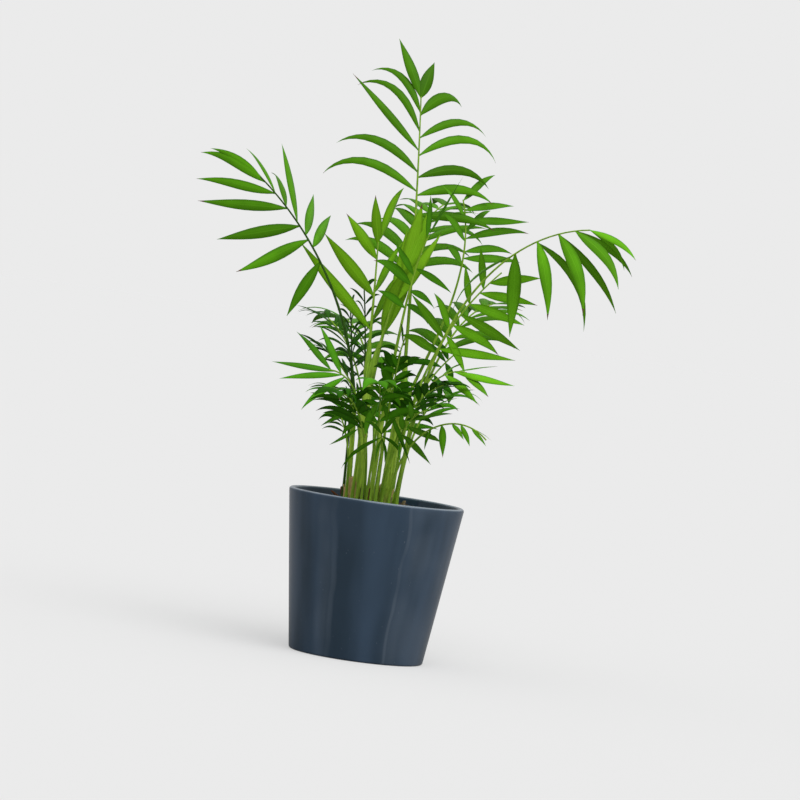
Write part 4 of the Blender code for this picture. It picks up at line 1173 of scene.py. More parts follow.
CARRIED = {
    "left": (
        Carried(1, 0.03, 118, -25, 2, 0.053, 0.0100),
        Carried(1, 0.26, 78, -24, 2, 0.068, 0.0105),
        Carried(1, 0.41, 61, -25, 2, 0.073, 0.0105),
        Carried(1, 0.61, 44, -25, 2, 0.079, 0.0090),
        Carried(1, 0.79, 35, -25, 3, 0.071, 0.0080),
        Carried(1, 0.93, 11, -24, 24, 0.064, 0.0085),
        Carried(1, 1.00, 2, -22, 32, 0.052, 0.0062),
        Carried(-1, 0.18, 87, -26, 12, 0.072, 0.0105),
        Carried(-1, 0.31, 80, -28, 9, 0.069, 0.0110),
        Carried(-1, 0.45, 54, -24, 9, 0.081, 0.0100),
        Carried(-1, 0.63, 59, -25, 45, 0.049, 0.0105),
        Carried(-1, 0.79, 47, -29, 28, 0.052, 0.0075),
    ),
    "top": (
        Carried(1, 0.25, 54, -8, 73, 0.088, 0.0080),
        Carried(1, 0.40, 43, -11, 74, 0.081, 0.0080),
        Carried(1, 0.57, 42, -8, 3, 0.086, 0.0072),
        Carried(1, 0.72, 23, -8, 80, 0.078, 0.0068),
        Carried(1, 0.87, 20, -9, 77, 0.066, 0.0068),
        Carried(1, 0.99, 17, -8, 12, 0.056, 0.0090),
        Carried(-1, 0.07, 84, -9, 20, 0.076, 0.0085),
        Carried(-1, 0.22, 66, -10, 53, 0.080, 0.0088),
        Carried(-1, 0.36, 63, -12, 62, 0.078, 0.0088),
        Carried(-1, 0.53, 50, -10, 88, 0.094, 0.0078),
        Carried(-1, 0.67, 51, -12, 69, 0.078, 0.0072),
        Carried(-1, 0.85, 36, -15, 87, 0.061, 0.0100),
        Carried(-1, 0.99, 18, -9, 5, 0.036, 0.0110),
    ),
    "right": (
        Carried(1, 0.12, 124, -50, 40, 0.073, 0.0120),
        Carried(1, 0.39, 76, -30, 68, 0.104, 0.0072),
        Carried(1, 0.65, 73, -40, 24, 0.094, 0.0078),
        Carried(1, 0.84, 40, -43, 37, 0.062, 0.0082),
        Carried(1, 1.00, 37, -42, 55, 0.046, 0.0062),
        Carried(-1, 0.08, 125, -2, 56, 0.090, 0.0120),
        Carried(-1, 0.40, 85, -62, 37, 0.073, 0.0110),
        Carried(-1, 0.65, 66, -54, 41, 0.085, 0.0110),
        Carried(-1, 0.84, 47, -44, 32, 0.079, 0.0098),
        Carried(-1, 1.00, 23, -43, 30, 0.053, 0.0070),
    ),
    "young": (
        Carried(1, 0.14, 43, -29, 2, 0.095, 0.0100),
        Carried(1, 0.47, 42, -29, 2, 0.067, 0.0112),
        Carried(1, 0.83, 37, -30, 2, 0.046, 0.0095),
        Carried(1, 0.97, 6, -29, 3, 0.042, 0.0088),
        Carried(-1, 0.22, 40, -30, 8, 0.070, 0.0095),
        Carried(-1, 0.50, 37, -30, 3, 0.061, 0.0095),
        Carried(-1, 1.00, 29, -31, 18, 0.064, 0.0110),
    ),
    "right_low": (
        Carried(1, 0.07, 67, -16, 3, 0.069, 0.0078),
        Carried(1, 0.22, 112, -16, 17, 0.037, 0.0070),
        Carried(1, 0.33, 79, -16, 18, 0.048, 0.0088),
        Carried(1, 0.45, 77, -16, 11, 0.061, 0.0088),
        Carried(1, 0.58, 67, -15, 5, 0.052, 0.0088),
        Carried(1, 0.72, 56, -16, 3, 0.052, 0.0082),
        Carried(1, 0.85, 36, -16, 3, 0.045, 0.0088),
        Carried(-1, 0.03, 88, -17, 17, 0.055, 0.0080),
        Carried(-1, 0.18, 76, -15, 7, 0.067, 0.0080),
        Carried(-1, 0.28, 69, -17, 9, 0.048, 0.0072),
        Carried(-1, 0.58, 62, -17, 5, 0.044, 0.0075),
        Carried(-1, 0.77, 65, -18, 5, 0.046, 0.0075),
    ),
    "back_right": (
        Carried(1, 0.37, 85, -19, 4, 0.076, 0.0072),
        Carried(1, 0.44, 79, -13, 20, 0.071, 0.0068),
        Carried(1, 0.58, 74, -18, 25, 0.080, 0.0070),
        Carried(1, 0.66, 64, 3, 14, 0.056, 0.0066),
        Carried(1, 0.77, 89, -17, 5, 0.074, 0.0068),
        Carried(1, 0.88, 80, -11, 20, 0.064, 0.0066),
        Carried(1, 0.99, 62, -20, 14, 0.054, 0.0066),
        Carried(-1, 0.30, 62, 4, 30, 0.042, 0.0075),
        Carried(-1, 0.55, 50, 8, 24, 0.044, 0.0072),
        Carried(-1, 0.80, 40, 2, 20, 0.042, 0.0070),
        Carried(-1, 1.00, 18, 5, 12, 0.038, 0.0070),
    ),
    "middle": (
        Carried(1, 0.15, 95, 2, 27, 0.049, 0.0060),
        Carried(1, 0.31, 90, 1, 29, 0.051, 0.0060),
        Carried(1, 0.58, 97, -2, 15, 0.050, 0.0060),
        Carried(1, 0.70, 57, 12, 4, 0.038, 0.0062),
        Carried(1, 1.00, 3, 5, 4, 0.056, 0.0066),
        Carried(-1, 0.10, 68, 6, 25, 0.047, 0.0065),
        Carried(-1, 0.38, 66, 13, 29, 0.055, 0.0092),
        Carried(-1, 0.50, 60, 3, 8, 0.048, 0.0068),
        Carried(-1, 0.95, 34, 5, 14, 0.044, 0.0075),
    ),
    "low_left": (
        Carried(1, 0.02, 70, 3, 12, 0.055, 0.0060),
        Carried(1, 0.16, 39, 14, 11, 0.063, 0.0062),
        Carried(1, 0.49, 9, 5, 3, 0.055, 0.0060),
        Carried(-1, 0.23, 42, 5, 4, 0.046, 0.0068),
        Carried(-1, 0.73, 50, 2, 3, 0.044, 0.0058),
    ),
    "low_right": (
        Carried(1, 0.10, 73, -4, 20, 0.044, 0.0078),
        Carried(1, 0.57, 48, -12, 4, 0.044, 0.0080),
        Carried(-1, 0.20, 59, -21, 15, 0.057, 0.0072),
        Carried(-1, 0.55, 26, -13, 4, 0.062, 0.0082),
        Carried(-1, 0.88, 43, -5, 4, 0.044, 0.0078),
    ),
    "arch_right": (
        Carried(1, 0.09, 94, -20, 4, 0.025, 0.0052),
        Carried(-1, 0.20, 95, -27, 66, 0.022, 0.0052),
        Carried(-1, 0.35, 68, -36, 24, 0.039, 0.0068),
        Carried(-1, 0.49, 41, -23, 13, 0.031, 0.0042),
        Carried(-1, 0.61, 44, -24, 4, 0.034, 0.0045),
        Carried(-1, 0.76, 22, -20, 4, 0.026, 0.0038),
        Carried(1, 0.70, 40, -20, 20, 0.024, 0.0042),
    ),
    "front": (
        Carried(1, 0.26, 125, -49, 43, 0.019, 0.0060),
        Carried(1, 0.53, 125, 21, 60, 0.025, 0.0060),
        Carried(-1, 0.15, 88, 15, 67, 0.023, 0.0060),
        Carried(-1, 0.29, 125, -38, 75, 0.035, 0.0105),
        Carried(-1, 0.60, 60, -76, 16, 0.043, 0.0090),
        Carried(-1, 0.61, 52, -21, 42, 0.050, 0.0050),
    ),
    "front_right": (
        Carried(1, 0.14, 120, 7, 16, 0.053, 0.0055),
        Carried(1, 0.35, 114, 6, 0, 0.050, 0.0065),
        Carried(1, 0.48, 57, 8, 20, 0.036, 0.0060),
        Carried(1, 0.89, 66, 31, 16, 0.033, 0.0050),
        Carried(-1, 0.00, 78, -65, 0, 0.053, 0.0050),
        Carried(-1, 0.24, 33, 3, 0, 0.020, 0.0055),
        Carried(-1, 0.56, 34, -3, 0, 0.033, 0.0055),
    ),
    "dark_front": (
        Carried(1, 0.83, 125, -50, 57, 0.021, 0.0060),
        Carried(1, 0.92, 114, 10, 62, 0.025, 0.0050),
        Carried(1, 1.00, 16, 16, 29, 0.049, 0.0050),
        Carried(-1, 0.79, 125, -61, 64, 0.020, 0.0060),
        Carried(-1, 0.87, 125, -11, 36, 0.047, 0.0050),
        Carried(-1, 1.00, 20, 6, 37, 0.039, 0.0050),
    ),
    "low_front": (
        Carried(1, 0.21, 125, 2, 43, 0.016, 0.0055),
        Carried(1, 0.39, 46, -7, 46, 0.033, 0.0055),
        Carried(1, 0.56, 13, 8, 5, 0.028, 0.0045),
        Carried(-1, 0.00, 122, 9, 0, 0.044, 0.0030),
        Carried(-1, 0.12, 109, -8, 59, 0.020, 0.0045),
        Carried(-1, 0.41, 117, 2, 12, 0.047, 0.0045),
        Carried(-1, 0.54, 105, 19, 13, 0.039, 0.0045),
    ),
    "front_high": (
        Carried(1, 0.00, 125, -60, 4, 0.052, 0.0065),
        Carried(1, 0.18, 125, 38, 87, 0.032, 0.0060),
        Carried(1, 0.48, 42, 7, 22, 0.017, 0.0050),
        Carried(-1, 0.02, 99, 15, 39, 0.021, 0.0060),
        Carried(-1, 0.18, 67, 11, 0, 0.020, 0.0070),
        Carried(-1, 0.34, 34, 9, 0, 0.024, 0.0080),
        Carried(-1, 0.58, 45, -12, 74, 0.020, 0.0050),
        Carried(-1, 0.69, 21, 15, 27, 0.018, 0.0050),
    ),
    "dark_middle": (
        Carried(1, 0.25, 87, -6, 20, 0.046, 0.0050),
        Carried(1, 0.56, 79, -8, 2, 0.048, 0.0050),
        Carried(1, 0.77, 83, 3, 42, 0.050, 0.0030),
        Carried(-1, 0.36, 86, 5, 27, 0.041, 0.0050),
        Carried(-1, 0.47, 72, 8, 0, 0.040, 0.0040),
        Carried(-1, 0.65, 101, 4, 23, 0.033, 0.0040),
        Carried(-1, 0.70, 81, 8, 32, 0.041, 0.0035),
        Carried(-1, 0.80, 61, 4, 12, 0.043, 0.0035),
    ),
    "dark_right": (
        Carried(1, 0.45, 125, -38, 28, 0.029, 0.0080),
        Carried(1, 0.58, 125, -32, 32, 0.036, 0.0080),
        Carried(1, 0.69, 106, 6, 58, 0.036, 0.0060),
        Carried(1, 0.77, 79, 16, 24, 0.029, 0.0050),
        Carried(1, 0.81, 62, 7, 30, 0.022, 0.0050),
        Carried(-1, 0.27, 124, 5, 55, 0.019, 0.0060),
        Carried(-1, 0.37, 115, 5, 48, 0.022, 0.0060),
        Carried(-1, 0.49, 85, 12, 32, 0.028, 0.0060),
        Carried(-1, 0.56, 118, 0, 54, 0.025, 0.0060),
        Carried(-1, 0.76, 108, -2, 60, 0.022, 0.0055),
    ),
    "front_left": (
        Carried(1, 0.47, 32, 11, 29, 0.022, 0.0030),
        Carried(-1, 0.39, 73, -7, 35, 0.039, 0.0025),
        Carried(-1, 0.53, 74, 1, 36, 0.034, 0.0025),
        Carried(-1, 0.64, 69, -5, 46, 0.040, 0.0028),
        Carried(-1, 0.74, 64, 7, 36, 0.034, 0.0026),
    ),
}


def station_at(stations: Sequence[Station], share: float) -> Station:
    """The station at a share of the spine's length, between the two nearest ones."""
    place = min(max(share, 0.0), 1.0) * (len(stations) - 1)
    index = min(int(place), len(stations) - 2)
    first, second = stations[index], stations[index + 1]
    between = place - index
    return Station(
        first.point.lerp(second.point, between),
        first.along.lerp(second.along, between).normalized(),
        first.side.lerp(second.side, between).normalized(),
        first.face.lerp(second.face, between).normalized(),
    )


def ring(centre: Vector, first: Vector, second: Vector, radius: float, sides: int) -> list[Vector]:
    """A ring that runs from the first axis, which a flat faces, towards the second."""
    turns = [math.tau * (index - 0.5) / sides for index in range(sides)]
    return [centre + (first * math.cos(turn) + second * math.sin(turn)) * radius for turn in turns]


def loft(rows: Sequence[Sequence[Vector]], tip: Optional[Vector] = None) -> Solid:
    """Points and triangles of a closed solid through equal rings, ended by a cap or a tip."""
    count = len(rows[0])
    points = [point for row in rows for point in row]
    faces: list[tuple[int, ...]] = []
    for row in range(len(rows) - 1):
        low, high = row * count, (row + 1) * count
        for index in range(count):
            after = (index + 1) % count
            faces.append((low + index, low + after, high + after))
            faces.append((low + index, high + after, high + index))
    last = (len(rows) - 1) * count
    faces += [(0, index + 1, index) for index in range(1, count - 1)]
    if tip is None:
        faces += [(last, last + index, last + index + 1) for index in range(1, count - 1)]
    else:
        points.append(tip)
        faces += [(last + index, last + (index + 1) % count, len(points) - 1) for index in range(count)]
    return points, faces


class Clearance:
    """The solids placed so far, as trees with their boxes, for finding what a new one meets."""

    def __init__(self) -> None:
        """Starts with nothing placed."""
        self.placed: list[tuple[str, tuple, BVHTree]] = []

    @staticmethod
    def _box(points: Sequence[Vector]) -> tuple[tuple[float, float], ...]:
        """The least and the most of the points on each axis."""
        return tuple(
            (min(point[axis] for point in points), max(point[axis] for point in points)) for axis in range(3)
        )

    def add(self, name: str, solid: Solid) -> None:
        """Places a solid under a name."""
        points, faces = solid
        self.placed.append((name, self._box(points), BVHTree.FromPolygons(points, faces)))

    def meets(self, name: str, solid: Solid) -> bool:
        """Whether a solid crosses one that is placed under another name."""
        points, faces = solid
        box, tree = self._box(points), None
        for other, other_box, other_tree in self.placed:
            if other == name or any(a[0] > b[1] or b[0] > a[1] for a, b in zip(box, other_box)):
                continue
            tree = tree or BVHTree.FromPolygons(points, faces)
            if tree.overlap(other_tree):
                return True
        return False


@dataclass(frozen=True)
class PlacedLeaflet:
    """A leaflet that keeps clear of the rest, with the lift that it took."""

    leaflet: Leaflet
    more_rise: float
    frond: Frond
    index: int


@dataclass
class Clump:
    """The palm: its canes, stalks and leaflets, placed by the growth rule one after the other."""

    canes: Sequence[Cane] = CANES
    fronds: Sequence[Frond] = FRONDS
    stations_shown: int = 44
    leaf_shares: Sequence[float] = (
        0.0, 0.04, 0.10, 0.18, 0.27, 0.37, 0.48, 0.59, 0.69, 0.78, 0.86, 0.93, 0.975, 1.0
    )
    twist: float = 26.0
    sway: float = 0.012
    dry_most: float = 0.10
    placed: list[PlacedLeaflet] = field(default_factory=list)
    posed: list[tuple[Frond, list[Station]]] = field(default_factory=list)

    def by_name(self) -> dict[str, Cane]:
        """The canes by their names."""
        return {cane.name: cane for cane in self.canes}

    def place(self, pot: Solid, mix: Solid) -> None:
        """Finds a clear place for every spine and then for every leaflet.

        Args:
            pot: The pot's plain solid.
            mix: The root ball's plain solid.
        """
        room, canes = Clearance(), self.by_name()
        room.add("pot", pot)
        room.add("root_ball", mix)
        for cane in self.canes:
            room.add(cane.name, cane.solid())
        for frond in self.fronds:
            for more in GROWTH.tried_azimuths:
                turned = replace(frond, azimuth=frond.azimuth + more)
                stations = turned.spine(canes)
                if not room.meets(frond.name, turned.tube(stations, GROWTH.crossing_room)):
                    break
            room.add(frond.name, turned.tube(stations))
            self.posed.append((turned, stations))
        for frond, stations in self.posed:
            bands = GROWTH.fine_bands if frond.leaflet > GROWTH.fine_from else GROWTH.coarse_bands
            for index, leaflet in enumerate(frond.leaflets(stations)):
                for more_rise in GROWTH.tried_rises:
                    if not room.meets(frond.name, leaflet.solid(more_rise, bands, GROWTH.crossing_room)):
                        room.add(frond.name, leaflet.solid(more_rise, bands))
                        self.placed.append(PlacedLeaflet(leaflet, more_rise, frond, index))
                        break
        LOG.info("placed %d leaflets on %d fronds", len(self.placed), len(self.posed))

    @staticmethod
    def outline(share: float) -> float:
        """A leaflet's width at a share of its length: pinched root, broad third, long tip."""
        least = GROWTH.root_width if share < 0.5 else 0.02
        return max(least, abs(math.sin(math.pi * share**0.8)) ** 1.05)

    def leaf_lines(self, kind: Kind) -> bpy.types.Mesh:
        """The midribs of one kind of leaf, with what the sweep needs on each point."""
        builder = MeshBuilder(kind.value + "_midribs")
        tints = kind.tints()
        for placed in self.placed:
            frond = placed.frond
            if frond.kind is not kind:
                continue
            rng = random.Random(1000 * frond.seed + placed.index)
            twist = rng.uniform(-self.twist, self.twist)
            sway = rng.uniform(-self.sway, self.sway) * placed.leaflet.length / 0.08
            dry = max(0.0, rng.uniform(-0.6, 1.0))
            tone = rng.random()
            course = placed.leaflet.course(placed.more_rise)
            points, facing, widths = [], [], []
            for share in self.leaf_shares:
                at = min(share * GROWTH.bends, GROWTH.bends - 1e-6)
                low, between = int(at), at - int(at)
                point = course[low][0].lerp(course[low + 1][0], between)
                along = course[low][1].lerp(course[low + 1][1], between).normalized()
                across = course[low][2].lerp(course[low + 1][2], between).normalized()
                bowed = math.sin(math.pi * share) * share
                points.append(point + across * (sway * bowed * 0.25))
                up = across.cross(along)
                facing.append(turned_about(up, along, twist * share * share))
                widths.append(placed.leaflet.width / 2 * self.outline(share))
            count = len(points)
            builder.line(
                points,
                facing=facing,
                half_width=widths,
                along=list(self.leaf_shares),
                tint=[float(tints.index(frond.tint))] * count,
                dry=[dry] * count,
                tone=[tone] * count,
            )
        return builder.mesh()

    def build_leaves(self, kind: Kind) -> bpy.types.Object:
        """One kind of leaf as a joined piece of swept blades."""
        blade = (
            (0.16, 0.0), (0.11, 0.45), (-0.06, 1.0), (-0.02, 0.0), (-0.06, -1.0), (0.11, -0.45),
        )
        across = [point[1] for point in blade]
        profile = profile_object("blade_outline", blade, across=across, upper=[1.0, 1.0, 0.5, 0.0, 0.5, 1.0])
        tints = kind.tints()
        tree = SweepTree("swept_" + kind.value, len(tints), True)
        values: dict[str, object] = {
            "Profile": profile, "Width": 1.0, "Dry Share": self.dry_most, "Dry": DRY_TIP.material(),
        }
        for index, tint in enumerate(tints):
            values[f"Finish {index}"] = tint.finish().material()
            values[f"Under {index}"] = tint.under_finish().material()
        piece = tree.run(kind.value + "_leaflets", self.leaf_lines(kind), values)
        bpy.data.objects.remove(profile)
        return piece

    def build_stalks(self, skins: Sequence[Finish]) -> bpy.types.Object:
        """Every stalk and rachis as one piece of swept lines, grooved on the upper side."""
        builder = MeshBuilder("stalk_lines")
        for frond, stations in self.posed:
            shares = [index / self.stations_shown for index in range(self.stations_shown + 1)]
            at = [station_at(stations, share) for share in shares]
            flare = 0.0 if frond.grows_from != "mix" else 0.45
            widths = [
                frond.radius(share) * (1.0 + flare * math.exp(-share * frond.length / 0.006)) for share in shares
            ]
            builder.line(
                [station.point for station in at],
                facing=[station.face for station in at],
                half_width=widths,
                along=shares,
                tint=[float(skins.index(frond.stalk))] * len(shares),
            )
        turns = [math.tau * index / 12 for index in range(12)]
        outline = [
            (math.cos(turn) * (0.72 if index == 0 else 1.0), math.sin(turn)) for index, turn in enumerate(turns)
        ]
        profile = profile_object("stalk_outline", outline)
        tree = SweepTree("swept_stalks", len(skins), False)
        values: dict[str, object] = {"Profile": profile, "Width": 1.0}
        for index, skin in enumerate(skins):
            values[f"Finish {index}"] = skin.material()
        piece = tree.run("stalks", builder.mesh(), values)
        bpy.data.objects.remove(profile)
        return piece

    def build_sheaths(self) -> bpy.types.Object:
        """The leaf bases that close over the canes' tops and narrow on to the stalks."""
        builder = MeshBuilder("sheath_lines")
        canes = self.by_name()
        for frond, stations in self.posed:
            if frond.grows_from not in canes:
                continue
            cane = canes[frond.grows_from]
            downward = leaning(cane.azimuth, cane.lean)
            points, widths, facing = [], [], []
            for index in range(17):
                share = index / 16
                if share < 0.25:
                    reach = (0.25 - share) / 0.25
                    centre = cane.top() - downward * (0.010 * reach)
                    centre = centre.lerp(stations[0].point, 0.35 * (1.0 - reach))
                else:
                    upward = (share - 0.25) / 0.75 * 0.026 / frond.length
                    centre = station_at(stations, upward).point
                    centre = centre.lerp(cane.top() + downward * (centre - cane.top()).length, 0.4 * (1 - share))
                points.append(centre)
                wide = cane.top_radius * 0.98
                narrow = frond.foot_radius * 1.12
                widths.append(wide + (narrow - wide) * eased(share, 0.12, 1.0))
                facing.append(stations[0].face)
            builder.line(points, facing=facing, half_width=widths, along=[0.0] * 17, tint=[0.0] * 17)
        turns = [math.tau * index / 20 for index in range(20)]
        outline = [
            ((1.0 + 0.05 * math.sin(5 * turn)) * math.cos(turn), (1.0 + 0.05 * math.sin(5 * turn)) * math.sin(turn))
            for turn in turns
        ]
        profile = profile_object("sheath_outline", outline)
        tree = SweepTree("swept_sheaths", 1, False)
        piece = tree.run(
            "sheaths", builder.mesh(), {"Profile": profile, "Width": 1.0, "Finish 0": PALE_STALK.material()}
        )
        bpy.data.objects.remove(profile)
        return piece


@dataclass(frozen=True)
class Stub:
    """A short stump of an old leaf stalk, standing in the potting mix."""

    at: tuple[float, float]
    height: float
    radius: float
    azimuth: float
    lean: float
    finish: Finish


@dataclass(frozen=True)
class Wrap:
    """A dry sheath that still wraps part of a cane's foot."""

    cane: str
    from_turn: float
    to_turn: float
    height: float
    off: float
    seed: int


STUBS = (
    Stub((-0.0062, -0.0165), 0.0140, 0.0017, 200, 5, RED_STUB),
    Stub((-0.0118, -0.0090), 0.0150, 0.0014, 150, 5, MOSSY_STUB),
    Stub((0.0103, -0.0120), 0.0090, 0.0014, 340, 6, TAN_STUB),
    Stub((-0.0275, -0.0030), 0.0130, 0.0015, 184, 56, RED_STUB),
    Stub((0.0220, 0.0150), 0.0062, 0.0014, 30, 14, TAN_STUB),
    Stub((-0.0100, 0.0300), 0.0140, 0.0016, 100, 12, MOSSY_STUB),
    Stub((-0.0280, 0.0220), 0.0110, 0.0015, 140, 16, RED_STUB),
)

WRAPS = (
    Wrap("cane_main", 172.0, 272.0, 0.0190, 0.0030, 1),
    Wrap("cane_right", 300.0, 415.0, 0.0130, 0.0006, 2),
    Wrap("cane_left", 120.0, 260.0, 0.0110, 0.0005, 3),
    Wrap("cane_back", 20.0, 170.0, 0.0160, 0.0006, 4),
    Wrap("cane_rear", 60.0, 200.0, 0.0150, 0.0006, 5),
)


@dataclass(frozen=True)
class OldBases:
    """What old leaves left at the foot of the clump: papery sheaths and short stumps."""

    canes: dict[str, Cane]
    stubs: Sequence[Stub] = STUBS
    wraps: Sequence[Wrap] = WRAPS
    thickness: float = 0.00035
    wrap_steps: int = 22
    wrap_rows: int = 14

    def build_stubs(self) -> bpy.types.Object:
        """The stumps, each a short rough stalk with a torn end."""
        finishes = list(dict.fromkeys(stub.finish for stub in self.stubs))
        builder = MeshBuilder("stub_lines")
        for index, stub in enumerate(self.stubs):
            rng = random.Random(40 + index)
            foot = Vector((*stub.at, GROWTH.mix_top - 0.0015))
            steps = 9
            points = [
                foot + leaning(stub.azimuth, stub.lean) * (stub.height * step / steps)
                + heading(rng.uniform(0, 360)) * rng.uniform(0.0, 0.00018)
                for step in range(steps + 1)
            ]
            widths = [
                stub.radius * (1.25 - 0.25 * step / steps) * rng.uniform(0.88, 1.10) for step in range(steps)
            ] + [stub.radius * 0.45]
            builder.line(
                points,
                facing=[heading(stub.azimuth)] * (steps + 1),
                half_width=widths,
                along=[step / steps for step in range(steps + 1)],
                tint=[float(finishes.index(stub.finish))] * (steps + 1),
            )
        outline = [
            ((1.0 + 0.16 * math.sin(3 * turn)) * math.cos(turn), (1.0 + 0.16 * math.sin(3 * turn)) * math.sin(turn))
            for turn in (math.tau * side / 14 for side in range(14))
        ]
        profile = profile_object("stub_outline", outline)
        tree = SweepTree("swept_stubs", len(finishes), False)
        values: dict[str, object] = {"Profile": profile, "Width": 1.0}
        for index, finish in enumerate(finishes):
            values[f"Finish {index}"] = finish.material()
        piece = tree.run("old_stubs", builder.mesh(), values)
        bpy.data.objects.remove(profile)
        return piece

    def build_wraps(self) -> bpy.types.Object:
        """The papery sheaths, each a thin curved shell with a ragged upper edge."""
        builder = MeshBuilder("paper_wraps")
        for wrap in self.wraps:
            cane, rows = self.canes[wrap.cane], []
            for row in range(self.wrap_rows + 1):
                outer, inner = [], []
                for step in range(self.wrap_steps + 1):
                    share = step / self.wrap_steps
                    turn = wrap.from_turn + (wrap.to_turn - wrap.from_turn) * share
                    ragged = 0.62 + 0.38 * math.sin(math.pi * share) ** 0.7
                    ragged += 0.16 * noise.noise(Vector((share * 9.0, wrap.seed * 3.7, 0.0)))
                    rise = wrap.height * ragged * row / self.wrap_rows
                    centre = cane.foot().lerp(cane.top(), rise / cane.height)
                    wide = cane.foot_radius + (cane.top_radius - cane.foot_radius) * rise / cane.height
                    flare = 1.0 + 0.10 * math.exp(-rise / 0.004)
                    crinkle = 0.0002 * noise.noise(Vector((share * 6.0, row * 0.5, wrap.seed)))
                    edge = 0.0006 * (2.0 * share - 1.0) ** 4 + 0.0008 * (row / self.wrap_rows) ** 3
                    radius = wide * flare + wrap.off + crinkle + edge
                    outer.append(centre + heading(turn) * (radius + self.thickness))
                    inner.append(centre + heading(turn) * radius)
                rows.append(outer + inner[::-1])
            start, count = len(builder.points), len(rows[0])
            builder.grid(rows)
            high = start + self.wrap_rows * count
            for step in range(self.wrap_steps):
                pairs = (step, step + 1, count - 2 - step, count - 1 - step)
                builder.faces.append(tuple(start + pair for pair in pairs[::-1]))
                builder.faces.append(tuple(high + pair for pair in pairs))
        return builder.piece(PAPER_SHEATH)


# The pot and what it holds

@dataclass(frozen=True)
class GlazedPot:
    """A tapered pot with a round lip, turned about Z, with a wall that waves a little."""

    height: float = 0.133
    rim_radius: float = 0.0735
    base_radius: float = 0.0560
    wall: float = 0.0045
    floor: float = 0.0070
    foot_edge: float = 0.0020
    sides: int = 192
    wall_rows: int = 44
    edge_steps: int = 8
    wave: float = 0.00016

    @property
    def lip(self) -> float:
        """The radius of the round lip."""
        return self.wall / 2

    def outside(self, height: float) -> float:
        """The outside radius at a height."""
        return self.base_radius + (self.rim_radius - self.base_radius) * height / self.height

    def profile(self, edge_steps: int, wall_rows: int) -> list[tuple[float, float]]:
        """Out from the axis under the base, up the outside, over the lip and down the inside."""
        foot = self.foot_edge
        found = [(0.0, 0.0), (self.base_radius - foot, 0.0)]
        for step in range(1, edge_steps + 1):
            turn = math.pi / 2 * step / edge_steps
            found.append((self.outside(foot) - foot * (1 - math.sin(turn)), foot * (1 - math.cos(turn))))
        lip_height = self.height - self.lip
        for row in range(1, wall_rows):
            height = foot + (lip_height - foot) * row / wall_rows
            found.append((self.outside(height), height))
        lip_middle = self.outside(lip_height) - self.lip
        for step in range(2 * edge_steps + 1):
            turn = math.pi * step / (2 * edge_steps)
            found.append((lip_middle + self.lip * math.cos(turn), lip_height + self.lip * math.sin(turn)))
        inside = self.outside(self.floor) - self.wall
        if wall_rows > 1:
            for row in range(1, 12):
                height = lip_height + (self.floor + foot - lip_height) * row / 12
                found.append((self.outside(height) - self.wall, height))
        return found + [(inside, self.floor + foot), (inside - foot, self.floor), (0.0, self.floor)]

    def solid(self) -> Solid:
        """The plain pot that others keep clear of."""
        return turned(self.profile(2, 1), 40)

    def build(self) -> bpy.types.Object:
        """The pot's mesh, its outer wall and lip waved as a glazed casting is."""
        builder = MeshBuilder("pot_glazed")
        rows = []
        profile = self.profile(self.edge_steps, self.wall_rows)[1:-1]
        for radius, height in profile:
            row = []
            for index in range(self.sides):
                turn = math.tau * index / self.sides
                outward = heading(math.degrees(turn))
                spot = outward * radius + UP * height
                outer = eased(height, 0.004, 0.02) * (1.0 if radius > self.outside(height) - self.wall * 0.4 else 0.3)
                wave = noise.noise(Vector((outward.x * 2.6, outward.y * 2.6, height * 9.0)))
                wave += 0.5 * noise.noise(Vector((outward.x * 7.0, outward.y * 7.0, height * 14.0 + 5.0)))
                row.append(spot + outward * (wave * self.wave * outer))
            rows.append(row)
        builder.grid(rows)
        builder.cap(0, self.sides, Vector((0.0, 0.0, 0.0)), True)
        builder.cap((len(profile) - 1) * self.sides, self.sides, Vector((0.0, 0.0, self.floor)), False)
        return builder.piece(SLATE_GLAZE)


def turned(profile: Outline, sides: int) -> Solid:
    """A profile of (radius, height) turned about Z; a radius of zero ends it on the axis."""
    points: list[Vector] = []
    faces: list[tuple[int, ...]] = []
    rings: list[list[int]] = []
    for radius, height in profile:
        start = len(points)
        if radius == 0.0:
            points.append(Vector((0.0, 0.0, height)))
            rings.append([start] * sides)
            continue
        centre = Vector((0.0, 0.0, height))
        points += ring(centre, Vector((1, 0, 0)), Vector((0, 1, 0)), radius, sides)
        rings.append(list(range(start, start + sides)))
    for low, high in zip(rings, rings[1:]):
        for index in range(sides):
            after = (index + 1) % sides
            corners = tuple(dict.fromkeys((low[index], low[after], high[after], high[index])))
            if len(corners) > 2:
                faces.append(corners)
    return points, faces


